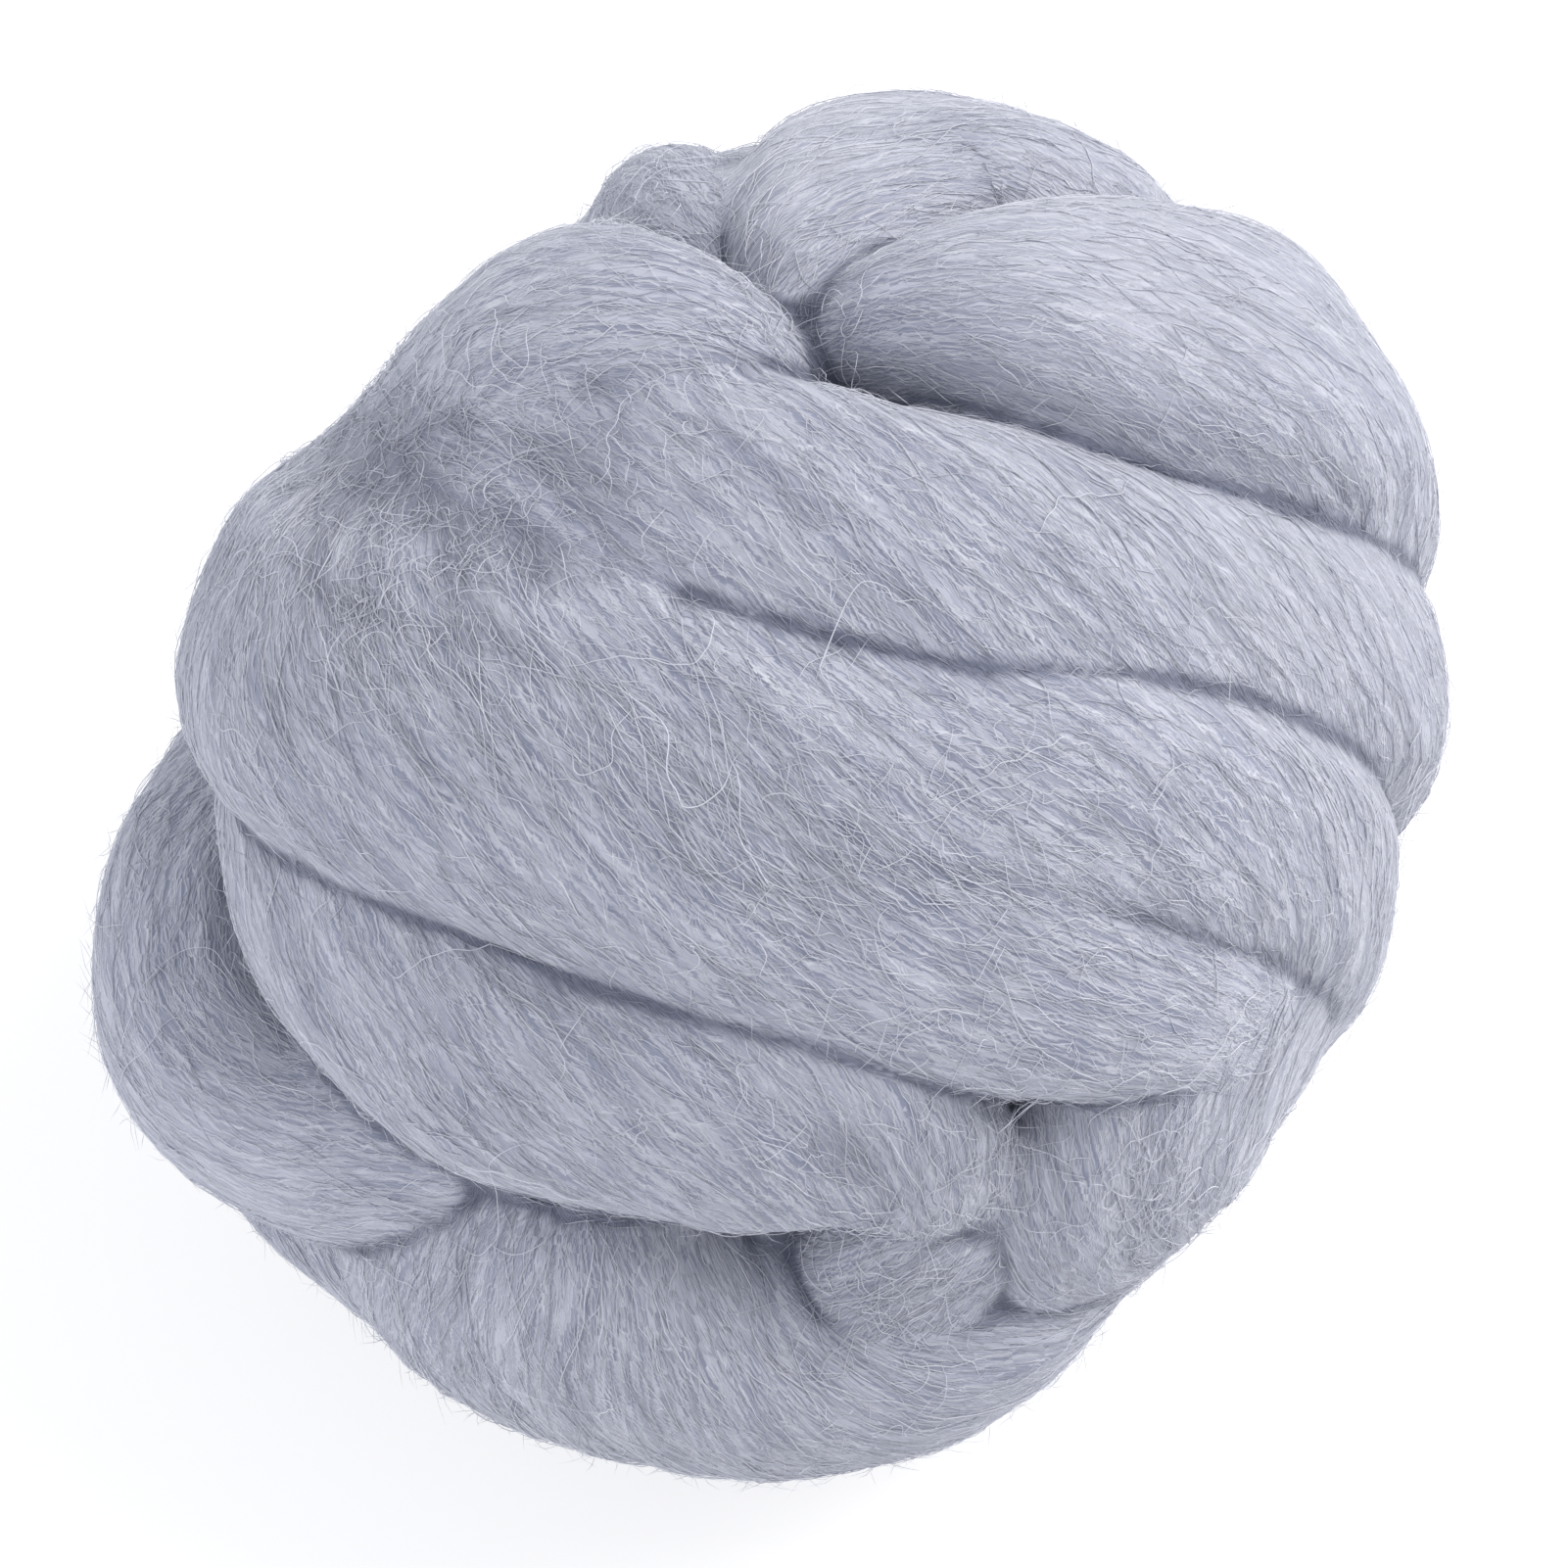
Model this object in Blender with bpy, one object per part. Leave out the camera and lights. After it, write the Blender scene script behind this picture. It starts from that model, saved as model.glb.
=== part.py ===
"""Combed wool roving wound by hand into a loose, uneven ball.

One continuous soft strand goes round and round the bundle. Each visible turn is a soft flattened
tube that follows a path over the ball. The turns and the wound middle are joined into one solid,
and the ball is pressed flat where it rests.

Units are metres, +Z is up, and the origin is under the middle of the ball, on the table.
The turns are laid out in the frame of the ball's face, in millimetres:
right is +X, up runs up the face, and out points out of the face. The face leans back, so up and
out are turned by FACE_LEAN to reach the ball's own frame.
"""

import math

import bmesh
import bpy
import numpy as np

MM = 0.001
FACE_LEAN = math.radians(50.0)  # how far the face looks up from straight ahead

# The ball, in millimetres of the face's frame.
COURSE_RADII = (56.0, 58.0, 44.0)  # where the middles of the turns run: right, up, out
CORE_RADII = (50.0, 52.0, 38.0)  # the wound middle that every turn lies on
FLOOR_DROP = 56.0  # from the middle of the ball down to the table
MIDDLE_SHIFT = (0.48, 2.04)  # from the face frame's middle to the middle of the ball's footprint

POINTS_PER_SPAN = 24  # fine points between two rows, before the even stations are taken
STATION_STEP = 5.0  # spacing of the sections along a turn
FEWEST_STATIONS = 6
EASING_PASSES = 4  # how often a turn's sideways directions are evened out along it
SECTION_SIDES = 16
SECTION_POWER = 2.7  # 2 is an ellipse; a pressed strand is a little squarer
SOFT_END = 0.45  # length of a turn's rounded end, as a share of its width
BLUNT_TIP = 0.12  # where the rounding stops, as a share of the rounded end
CORE_SEGMENTS = 24
CORE_RINGS = 14
PLANE_REACH = 1e-6  # points this close to the table's plane, in metres, count as on it

# Each turn is a row for each bend: the middle of the strand (right, up, out), then how wide the
# strand lies across its path and how deep it is out of the ball.
COLUMNS = ("right", "up", "out", "across", "deep")
TURNS = {
    "lobe_back_left": (
        (-15, 44, -26, 16, 14),
        (-11.5, 50.2, -12, 17, 14),
        (-8.2, 52.8, 2, 13.5, 17),
        (-6.5, 49, 13, 10.5, 14),
        (-2.5, 42, 17, 7, 10),
    ),
    "lobe_top": (
        (4, 35.5, 18, 8, 12),
        (3.8, 43, 22, 13.5, 15),
        (6.6, 51, 14, 22, 18),
        (12, 56, 5.5, 27, 19),
        (18.5, 57, 1.5, 28, 19),
        (26, 54, -4, 28, 19),
        (33, 46, -14, 26, 19),
        (38, 36, -25, 24, 19),
        (40, 24, -35, 22, 18),
    ),
    "round_top": (
        (4.5, 36, 18, 8, 11),
        (10.2, 40.4, 26, 12, 15),
        (20.2, 41.8, 27.5, 21.5, 20),
        (34.5, 40, 21, 31, 23),
        (47, 37.5, 9, 34, 23),
        (51.5, 31, -5, 32, 21),
        (50.5, 25, -20, 28, 20),
        (43, 25, -33, 26, 21),
        (27, 29, -41, 28, 22),
        (6, 32, -43, 30, 23),
        (-15, 32, -38, 28, 22),
        (-29, 31, -26, 24, 19),
        (-34.5, 28, -11, 20, 17),
        (-39.8, 24.2, 6, 22, 18),
        (-43.5, 17.2, 18, 25, 20),
        (-40.7, 8.5, 26, 27, 22),
        (-32, 3.5, 34, 28, 23),
        (-19, -1, 40, 28, 24),
        (-4, -7, 41.5, 28, 24),
        (11, -12, 39.5, 27, 23),
        (25, -16, 34, 24, 22),
        (37, -19.5, 25, 19, 19),
        (45, -22, 14, 12, 14),
    ),
    "lobe_left": (
        (2, 33.2, 26, 8, 12),
        (-4.4, 38, 29.5, 13.5, 17),
        (-11.5, 39.5, 28.5, 20.5, 20),
        (-20, 39, 23, 25, 20),
        (-28.6, 34, 16, 22, 18),
        (-34.5, 28, 6, 18, 16),
        (-38.5, 21, -8, 16, 14),
    ),
    "round_middle": (
        (-32, 37, 6, 16, 14),
        (-26, 33, 18, 22, 18),
        (-15, 28, 30, 26, 22),
        (1, 23, 37, 28, 23),
        (18, 19.2, 36, 26.5, 23),
        (33, 16.2, 29, 23.5, 22),
        (46, 13.8, 18, 24, 21),
        (54, 10, 3, 26, 22),
        (54, 5, -15, 26, 21),
        (43, 1, -33, 28, 22),
        (22, 2, -46, 31, 24),
        (-2, 6, -48.5, 31, 24),
        (-25, 9, -42, 28, 22),
        (-40, 9, -28, 22, 19),
        (-47, 5, -16, 17, 16),
        (-52, -3, -7, 18, 17),
        (-56, -13, 1, 20, 18),
        (-54.3, -24.2, 7, 21, 19),
        (-45, -32, 13, 20, 19),
        (-33, -34, 19, 17, 17),
        (-22, -35, 24, 12, 14),
    ),
    "band_middle": (
        (-20, 31, -28, 16, 14),
        (-29, 31, -13, 18, 15),
        (-34, 28, 3, 21, 17),
        (-37.5, 21.5, 17, 24, 19),
        (-36, 15.5, 26.5, 26, 21),
        (-31, 12, 32, 27, 21.5),
        (-24, 9, 36.5, 28, 22),
        (-12, 4.5, 41, 28, 23),
        (2, 0.5, 42.5, 28, 23),
        (16, -1.5, 40, 27, 22),
        (28, -1.5, 35.5, 26, 22),
        (39, -3.5, 28.5, 25, 21),
        (48, -7.5, 17, 23, 20),
        (51, -13.5, 5, 20, 18),
        (47.5, -20.8, -1, 18, 16),
        (44, -29, -3, 15, 14),
    ),
    "band_between": (
        (-37, 28, -4, 14, 13),
        (-41, 23, 11, 18, 17),
        (-42, 15.5, 21.5, 20, 19),
        (-37.5, 9.5, 28.5, 22, 21),
        (-28, 6, 36, 22, 22.5),
        (-15.5, 2, 41, 22, 23.5),
        (-2, -3, 42.7, 22, 23.5),
        (9, -6, 40, 20, 20),
        (18, -8.5, 33, 16, 14),
    ),
    "band_lower": (
        (-42, 8, 8, 12, 14),
        (-42.5, -1, 15, 17, 17),
        (-39, -10.5, 23, 22, 19),
        (-31.5, -18.5, 29, 25, 21),
        (-22, -24, 33, 26, 21),
        (-11, -27, 35.5, 25, 21),
        (0, -28.5, 35.5, 24, 20),
        (8, -30.5, 33, 21, 18),
        (14, -33.5, 29, 17, 16),
        (19.5, -37.5, 23, 12, 12),
    ),
    "strand_corner": (
        (52, -4, -10, 18, 16),
        (48.5, -15, 4, 22, 18),
        (40.5, -25, 14, 30, 19),
        (34, -33, 17, 31, 19),
        (30, -40, 12, 27, 17),
        (27, -45, 0, 22, 15),
        (22, -47, -12, 18, 14),
    ),
    "lobe_bottom": (
        (-29, -31, 20, 38, 18),
        (-27, -40, 17, 44, 22),
        (-18, -49, 12, 42, 24),
        (-4, -54, 8, 36, 24),
        (10, -54, 6, 30, 22),
        (21, -49, 5, 26, 20),
        (28, -42, 1, 20, 17),
        (32, -35, -8, 16, 15),
    ),
    "tucked_end": (
        (14, -35, 23, 16, 12),
        (13.5, -41, 22.5, 20, 13),
        (12, -46, 18.5, 19, 12),
        (10.5, -51, 12.5, 12, 10),
    ),
    "under_wide": (
        (-52, -6, -12, 22, 18),
        (-44, -20, -25, 32, 22),
        (-23, -30, -37, 38, 25),
        (2, -33, -40, 40, 25),
        (26, -28, -37, 36, 25),
        (43, -17, -26, 32, 22),
        (51, -5, -12, 24, 20),
    ),
    "under_front": (
        (-50, -20, -6, 22, 18),
        (-43, -35, -11, 26, 20),
        (-25, -47, -14, 30, 22),
        (0, -51, -16, 32, 22),
        (20, -45, -18, 30, 22),
        (36, -34, -14, 26, 20),
        (45, -22, -10, 22, 18),
    ),
    "under_back": (
        (-50, -3, -16, 18, 16),
        (-39, -5, -32, 24, 20),
        (-19, -10, -44, 26, 22),
        (4, -13, -47, 26, 22),
        (26, -10, -42, 24, 20),
        (42, -7, -29, 22, 18),
        (52, -4, -12, 18, 16),
    ),
    "back_top": (
        (38, 38, -16, 20, 18),
        (25, 47, -20, 30, 20),
        (8, 50, -22, 34, 21),
        (-9, 47, -22, 30, 20),
        (-22, 38, -17, 24, 17),
        (-30, 31, -4, 16, 14),
    ),
}

WOOL_COLOUR = (0.39, 0.41, 0.49, 1.0)  # cool grey-blue
WOOL_ROUGHNESS = 0.9


def unit(vectors):
    """Each row divided by its own length."""
    return vectors / np.linalg.norm(vectors, axis=-1, keepdims=True)


def smooth_course(rows, step):
    """Stations every `step` mm along a smooth curve through the rows (a Catmull-Rom spline)."""
    knots = np.array(rows, float)
    padded = np.vstack([2 * knots[0] - knots[1], knots, 2 * knots[-1] - knots[-2]])
    fine = np.linspace(0, 1, POINTS_PER_SPAN, endpoint=False)[:, None]
    pieces = []
    for p0, p1, p2, p3 in zip(padded, padded[1:], padded[2:], padded[3:]):
        pieces.append(
            0.5
            * (
                2 * p1
                + (p2 - p0) * fine
                + (2 * p0 - 5 * p1 + 4 * p2 - p3) * fine**2
                + (3 * p1 - p0 - 3 * p2 + p3) * fine**3
            )
        )
    dense = np.vstack(pieces + [knots[-1:]])
    strides = np.linalg.norm(np.diff(dense[:, :3], axis=0), axis=1)
    length = np.concatenate([[0], np.cumsum(strides)])
    count = max(FEWEST_STATIONS, round(length[-1] / step) + 1)
    stations = np.linspace(0, length[-1], count)
    course = np.column_stack([np.interp(stations, length, column) for column in dense.T])
    return course, stations


def outward(points):
    """The direction out of the ball at each point, square to the ellipsoid of the courses."""
    return unit(points / np.array(COURSE_RADII) ** 2)


def section_frame(points):
    """Across and outward directions at each station, eased along the path so that it never flips."""
    along = unit(np.gradient(points, axis=0))
    across = np.cross(along, outward(points))
    for _ in range(EASING_PASSES):
        eased = across.copy()
        eased[1:-1] = (across[:-2] + 2 * across[1:-1] + across[2:]) / 4
        across = eased
    across = unit(across - along * (across * along).sum(1, keepdims=True))
    return across, np.cross(across, along)


def turn_points(rows):
    """A turn's surface: a rounded section carried along its course, closing softly at both ends."""
    course, stations = smooth_course(rows, STATION_STEP)
    points = course[:, :3]
    width = course[:, COLUMNS.index("across")]
    depth = course[:, COLUMNS.index("deep")]
    across, out = section_frame(points)
    near_end = np.minimum(stations, stations[-1] - stations) / (SOFT_END * width)
    swell = np.sqrt(1 - (1 - np.clip(near_end, BLUNT_TIP, 1)) ** 2)
    angle = np.linspace(0, 2 * math.pi, SECTION_SIDES, endpoint=False)
    round_off = 2 / SECTION_POWER
    side = np.sign(np.cos(angle)) * np.abs(np.cos(angle)) ** round_off
    rise = np.sign(np.sin(angle)) * np.abs(np.sin(angle)) ** round_off
    return (
        points[:, None]
        + (across * (swell * width / 2)[:, None])[:, None] * side[None, :, None]
        + (out * (swell * depth / 2)[:, None])[:, None] * rise[None, :, None]
    )


def to_ball(face_points):
    """From the face's frame in mm to the ball's frame in metres, with the table at z = 0."""
    right, up, out = np.moveaxis(np.asarray(face_points, float), -1, 0)
    back = up * math.sin(FACE_LEAN) - out * math.cos(FACE_LEAN)
    high = up * math.cos(FACE_LEAN) + out * math.sin(FACE_LEAN)
    moved = (right - MIDDLE_SHIFT[0], back - MIDDLE_SHIFT[1], high + FLOOR_DROP)
    return MM * np.stack(moved, axis=-1)


def clear_scene():
    for thing in list(bpy.data.objects):
        bpy.data.objects.remove(thing, do_unlink=True)


def collection_named(name):
    found = bpy.data.collections.new(name)
    bpy.context.scene.collection.children.link(found)
    return found


def loft(name, rings, collection):
    """A closed tube through rings of points, with a fan over each end."""
    form = bmesh.new()
    loops = [[form.verts.new(point) for point in ring] for ring in rings]
    for near, far in zip(loops, loops[1:]):
        for i, corner in enumerate(near):
            j = (i + 1) % len(near)
            form.faces.new((corner, near[j], far[j], far[i]))
    for loop in (loops[0], loops[-1]):
        middle = sum((corner.co for corner in loop), start=loop[0].co * 0) / len(loop)
        tip = form.verts.new(middle)
        for i, corner in enumerate(loop):
            form.faces.new((loop[(i + 1) % len(loop)], corner, tip))
    bmesh.ops.recalc_face_normals(form, faces=form.faces)
    mesh = bpy.data.meshes.new(name)
    form.to_mesh(mesh)
    form.free()
    made = bpy.data.objects.new(name, mesh)
    collection.objects.link(made)
    return made


def wound_middle(collection):
    """The inside of the ball: an ellipsoid that every turn sinks into."""
    form = bmesh.new()
    bmesh.ops.create_uvsphere(
        form, u_segments=CORE_SEGMENTS, v_segments=CORE_RINGS, radius=1.0
    )
    for corner in form.verts:
        corner.co = to_ball(np.array(corner.co) * CORE_RADII)
    mesh = bpy.data.meshes.new("wound_middle")
    form.to_mesh(mesh)
    form.free()
    made = bpy.data.objects.new("wound_middle", mesh)
    collection.objects.link(made)
    return made


def join_solids(base, others):
    """One union of all the solids, by the exact solver."""
    group = collection_named("turns_to_join")
    for other in others:
        for owner in list(other.users_collection):
            owner.objects.unlink(other)
        group.objects.link(other)
    union = base.modifiers.new("join_turns", "BOOLEAN")
    union.operation = "UNION"
    union.operand_type = "COLLECTION"
    union.collection = group
    union.solver = "EXACT"
    union.use_self = True
    bake_modifiers(base)
    for other in others:
        bpy.data.objects.remove(other, do_unlink=True)
    bpy.data.collections.remove(group)


def bake_modifiers(piece):
    """The piece's mesh becomes what its modifiers make of it."""
    graph = bpy.context.evaluated_depsgraph_get()
    result = bpy.data.meshes.new_from_object(piece.evaluated_get(graph))
    piece.modifiers.clear()
    piece.data = result


def keep_outer_skin(piece):
    """Keeps the largest connected surface, so that no hollow stays sealed between the turns."""
    form = bmesh.new()
    form.from_mesh(piece.data)
    unseen = set(form.verts)
    shells = []
    while unseen:
        edge_of_search = [unseen.pop()]
        shell = []
        while edge_of_search:
            corner = edge_of_search.pop()
            shell.append(corner)
            for edge in corner.link_edges:
                far = edge.other_vert(corner)
                if far in unseen:
                    unseen.remove(far)
                    edge_of_search.append(far)
        shells.append(shell)
    shells.sort(key=len)
    for shell in shells[:-1]:
        bmesh.ops.delete(form, geom=shell, context="VERTS")
    print(f"kept the outer skin, dropped {len(shells) - 1} inner shells")
    form.to_mesh(piece.data)
    form.free()


def press_flat(piece):
    """Cuts the ball off at the table, so that it rests on a small flat spot."""
    form = bmesh.new()
    form.from_mesh(piece.data)
    everything = form.verts[:] + form.edges[:] + form.faces[:]
    cut = bmesh.ops.bisect_plane(
        form,
        geom=everything,
        dist=PLANE_REACH,
        plane_co=(0, 0, 0),
        plane_no=(0, 0, -1),
        clear_outer=True,
    )
    rim = [item for item in cut["geom_cut"] if isinstance(item, bmesh.types.BMEdge)]
    bmesh.ops.contextual_create(form, geom=rim)
    bmesh.ops.triangulate(form, faces=form.faces[:])
    bmesh.ops.recalc_face_normals(form, faces=form.faces)
    form.to_mesh(piece.data)
    form.free()


def wool_material():
    wool = bpy.data.materials.new("wool")
    wool.use_nodes = True
    surface = wool.node_tree.nodes["Principled BSDF"]
    surface.inputs["Base Color"].default_value = WOOL_COLOUR
    surface.inputs["Roughness"].default_value = WOOL_ROUGHNESS
    surface.inputs["Metallic"].default_value = 0.0
    return wool


def main():
    clear_scene()
    ball = collection_named("wool_roving_ball")
    middle = wound_middle(ball)
    turns = [loft(name, to_ball(turn_points(rows)), ball) for name, rows in TURNS.items()]
    join_solids(middle, turns)
    keep_outer_skin(middle)
    press_flat(middle)
    middle.name = middle.data.name = "wool_roving"
    middle.data.shade_smooth()
    middle.data.materials.clear()
    middle.data.materials.append(wool_material())
    corners = np.array([corner.co for corner in middle.data.vertices])
    print("box in mm:", (corners.min(0) / MM).round(2), (corners.max(0) / MM).round(2))
    print("triangles:", sum(len(face.vertices) - 2 for face in middle.data.polygons))


main()
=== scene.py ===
# %% [markdown]
# # A loose ball of combed wool roving
#
# Roving is wool that has been washed, carded and combed until its fibres lie side by side in one
# endless soft strand, about as thick as a thumb. Here some metres of it are wound by hand into a
# loose, uneven ball. Nothing is sewn or knotted: the turns hold each other.
#
# The model is made in layers, from the inside out: the shape of the wound turns as one soft skin,
# then thousands of combed fibres that follow each turn, then loose curly fibres that wander over
# the surface, and last the fine fuzz that gives the ball its hazy edge.

# %% Load the measured model
import math

import bpy
import numpy as np
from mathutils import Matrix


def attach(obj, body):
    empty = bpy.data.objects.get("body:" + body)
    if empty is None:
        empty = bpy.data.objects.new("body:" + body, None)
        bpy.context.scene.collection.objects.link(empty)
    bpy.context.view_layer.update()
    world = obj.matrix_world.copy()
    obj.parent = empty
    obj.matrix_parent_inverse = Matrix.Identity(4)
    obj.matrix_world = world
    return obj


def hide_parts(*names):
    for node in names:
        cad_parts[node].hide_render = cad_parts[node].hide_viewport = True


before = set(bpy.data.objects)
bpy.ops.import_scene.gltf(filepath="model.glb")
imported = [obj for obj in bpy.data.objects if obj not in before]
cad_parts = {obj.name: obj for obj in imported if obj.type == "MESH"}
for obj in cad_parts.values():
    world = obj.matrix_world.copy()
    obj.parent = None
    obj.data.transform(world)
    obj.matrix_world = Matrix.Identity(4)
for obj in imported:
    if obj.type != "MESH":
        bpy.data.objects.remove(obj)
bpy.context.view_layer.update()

# %% [markdown]
# ## The frame of the ball's face
#
# The ball lies on a table and is seen from above and in front. It is easiest to describe as it is
# seen, so the turns are written in millimetres in the frame of the face: `right`, `up` along the
# face, and `out` towards the viewer. One turn of that frame about the X axis brings it to the
# table's frame.

# %% Millimetres on the face to metres on the table
MM = 0.001
FACE_LEAN = math.radians(50.0)  # how far the face looks up from straight ahead
FLOOR_DROP = 56.0  # from the middle of the ball down to the table
MIDDLE_SHIFT = (0.48, 2.04)  # from the face frame's middle to the middle of the footprint
FOOT = np.array([*MIDDLE_SHIFT, -FLOOR_DROP])  # from the ball's middle to the table's origin


def turned(vectors):
    """A direction in the face frame becomes one in the table frame: up and out turn by the lean."""
    right, up, out = np.moveaxis(np.asarray(vectors, float), -1, 0)
    back = up * math.sin(FACE_LEAN) - out * math.cos(FACE_LEAN)
    high = up * math.cos(FACE_LEAN) + out * math.sin(FACE_LEAN)
    return np.stack([right, back, high], axis=-1)


def to_table(face):
    """A place in the face frame, in mm, becomes one in the table frame, in metres."""
    return MM * (turned(face) - FOOT)


def to_face(table):
    """Table frame in metres back to the face frame in mm: the same move and turn, undone."""
    right, back, high = np.moveaxis(np.asarray(table, float) / MM + FOOT, -1, 0)
    up = back * math.sin(FACE_LEAN) + high * math.cos(FACE_LEAN)
    out = high * math.sin(FACE_LEAN) - back * math.cos(FACE_LEAN)
    return np.stack([right, up, out], axis=-1)


# %% [markdown]
# ## The turns
#
# Each turn of the strand is a short table: a row for each bend, with the middle of the strand and
# how wide and deep the strand is there. A spline would pass through such rows anyway, so a dozen
# numbers describe a whole lobe, and any of them can be changed by hand.

# %% The table of turns
COLUMNS = ("right", "up", "out", "across", "deep")
TURNS = {
    "lobe_back_left": (
        (-15, 44, -26, 16, 14),
        (-11.5, 50.2, -12, 17, 14),
        (-8.2, 52.8, 2, 13.5, 17),
        (-6.5, 49, 13, 10.5, 14),
        (-2.5, 42, 17, 7, 10),
    ),
    "lobe_top": (
        (4, 35.5, 18, 8, 12),
        (3.8, 43, 22, 13.5, 15),
        (6.6, 51, 14, 22, 18),
        (12, 56, 5.5, 27, 19),
        (18.5, 57, 1.5, 28, 19),
        (26, 54, -4, 28, 19),
        (33, 46, -14, 26, 19),
        (38, 36, -25, 24, 19),
        (40, 24, -35, 22, 18),
    ),
    "round_top": (
        (4.5, 36, 18, 8, 11),
        (10.2, 40.4, 26, 12, 15),
        (20.2, 41.8, 27.5, 21.5, 20),
        (34.5, 40, 21, 31, 23),
        (47, 37.5, 9, 34, 23),
        (51.5, 31, -5, 32, 21),
        (50.5, 25, -20, 28, 20),
        (43, 25, -33, 26, 21),
        (27, 29, -41, 28, 22),
        (6, 32, -43, 30, 23),
        (-15, 32, -38, 28, 22),
        (-29, 31, -26, 24, 19),
        (-34.5, 28, -11, 20, 17),
        (-39.8, 24.2, 6, 22, 18),
        (-43.5, 17.2, 18, 25, 20),
        (-40.7, 8.5, 26, 27, 22),
        (-32, 3.5, 34, 28, 23),
        (-19, -1, 40, 28, 24),
        (-4, -7, 41.5, 28, 24),
        (11, -12, 39.5, 27, 23),
        (25, -16, 34, 24, 22),
        (37, -19.5, 25, 19, 19),
        (45, -22, 14, 12, 14),
    ),
    "lobe_left": (
        (2, 33.2, 26, 8, 12),
        (-4.4, 38, 29.5, 13.5, 17),
        (-11.5, 39.5, 28.5, 20.5, 20),
        (-20, 39, 23, 25, 20),
        (-28.6, 34, 16, 22, 18),
        (-34.5, 28, 6, 18, 16),
        (-38.5, 21, -8, 16, 14),
    ),
    "round_middle": (
        (-32, 37, 6, 16, 14),
        (-26, 33, 18, 22, 18),
        (-15, 28, 30, 26, 22),
        (1, 23, 37, 28, 23),
        (18, 19.2, 36, 26.5, 23),
        (33, 16.2, 29, 23.5, 22),
        (46, 13.8, 18, 24, 21),
        (54, 10, 3, 26, 22),
        (54, 5, -15, 26, 21),
        (43, 1, -33, 28, 22),
        (22, 2, -46, 31, 24),
        (-2, 6, -48.5, 31, 24),
        (-25, 9, -42, 28, 22),
        (-40, 9, -28, 22, 19),
        (-47, 5, -16, 17, 16),
        (-52, -3, -7, 18, 17),
        (-56, -13, 1, 20, 18),
        (-54.3, -24.2, 7, 21, 19),
        (-45, -32, 13, 20, 19),
        (-33, -34, 19, 17, 17),
        (-22, -35, 24, 12, 14),
    ),
    "band_middle": (
        (-20, 31, -28, 16, 14),
        (-29, 31, -13, 18, 15),
        (-34, 28, 3, 21, 17),
        (-37.5, 21.5, 17, 24, 19),
        (-36, 15.5, 26.5, 26, 21),
        (-31, 12, 32, 27, 21.5),
        (-24, 9, 36.5, 28, 22),
        (-12, 4.5, 41, 28, 23),
        (2, 0.5, 42.5, 28, 23),
        (16, -1.5, 40, 27, 22),
        (28, -1.5, 35.5, 26, 22),
        (39, -3.5, 28.5, 25, 21),
        (48, -7.5, 17, 23, 20),
        (51, -13.5, 5, 20, 18),
        (47.5, -20.8, -1, 18, 16),
        (44, -29, -3, 15, 14),
    ),
    "band_between": (
        (-37, 28, -4, 14, 13),
        (-41, 23, 11, 18, 17),
        (-42, 15.5, 21.5, 20, 19),
        (-37.5, 9.5, 28.5, 22, 21),
        (-28, 6, 36, 22, 22.5),
        (-15.5, 2, 41, 22, 23.5),
        (-2, -3, 42.7, 22, 23.5),
        (9, -6, 40, 20, 20),
        (18, -8.5, 33, 16, 14),
    ),
    "band_lower": (
        (-42, 8, 8, 12, 14),
        (-42.5, -1, 15, 17, 17),
        (-39, -10.5, 23, 22, 19),
        (-31.5, -18.5, 29, 25, 21),
        (-22, -24, 33, 26, 21),
        (-11, -27, 35.5, 25, 21),
        (0, -28.5, 35.5, 24, 20),
        (8, -30.5, 33, 21, 18),
        (14, -33.5, 29, 17, 16),
        (19.5, -37.5, 23, 12, 12),
    ),
    "strand_corner": (
        (52, -4, -10, 18, 16),
        (48.5, -15, 4, 22, 18),
        (40.5, -25, 14, 30, 19),
        (34, -33, 17, 31, 19),
        (30, -40, 12, 27, 17),
        (27, -45, 0, 22, 15),
        (22, -47, -12, 18, 14),
    ),
    "lobe_bottom": (
        (-29, -31, 20, 38, 18),
        (-27, -40, 17, 44, 22),
        (-18, -49, 12, 42, 24),
        (-4, -54, 8, 36, 24),
        (10, -54, 6, 30, 22),
        (21, -49, 5, 26, 20),
        (28, -42, 1, 20, 17),
        (32, -35, -8, 16, 15),
    ),
    "tucked_end": (
        (14, -35, 23, 16, 12),
        (13.5, -41, 22.5, 20, 13),
        (12, -46, 18.5, 19, 12),
        (10.5, -51, 12.5, 12, 10),
    ),
    "under_wide": (
        (-52, -6, -12, 22, 18),
        (-44, -20, -25, 32, 22),
        (-23, -30, -37, 38, 25),
        (2, -33, -40, 40, 25),
        (26, -28, -37, 36, 25),
        (43, -17, -26, 32, 22),
        (51, -5, -12, 24, 20),
    ),
    "under_front": (
        (-50, -20, -6, 22, 18),
        (-43, -35, -11, 26, 20),
        (-25, -47, -14, 30, 22),
        (0, -51, -16, 32, 22),
        (20, -45, -18, 30, 22),
        (36, -34, -14, 26, 20),
        (45, -22, -10, 22, 18),
    ),
    "under_back": (
        (-50, -3, -16, 18, 16),
        (-39, -5, -32, 24, 20),
        (-19, -10, -44, 26, 22),
        (4, -13, -47, 26, 22),
        (26, -10, -42, 24, 20),
        (42, -7, -29, 22, 18),
        (52, -4, -12, 18, 16),
    ),
    "back_top": (
        (38, 38, -16, 20, 18),
        (25, 47, -20, 30, 20),
        (8, 50, -22, 34, 21),
        (-9, 47, -22, 30, 20),
        (-22, 38, -17, 24, 17),
        (-30, 31, -4, 16, 14),
    ),
}

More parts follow.
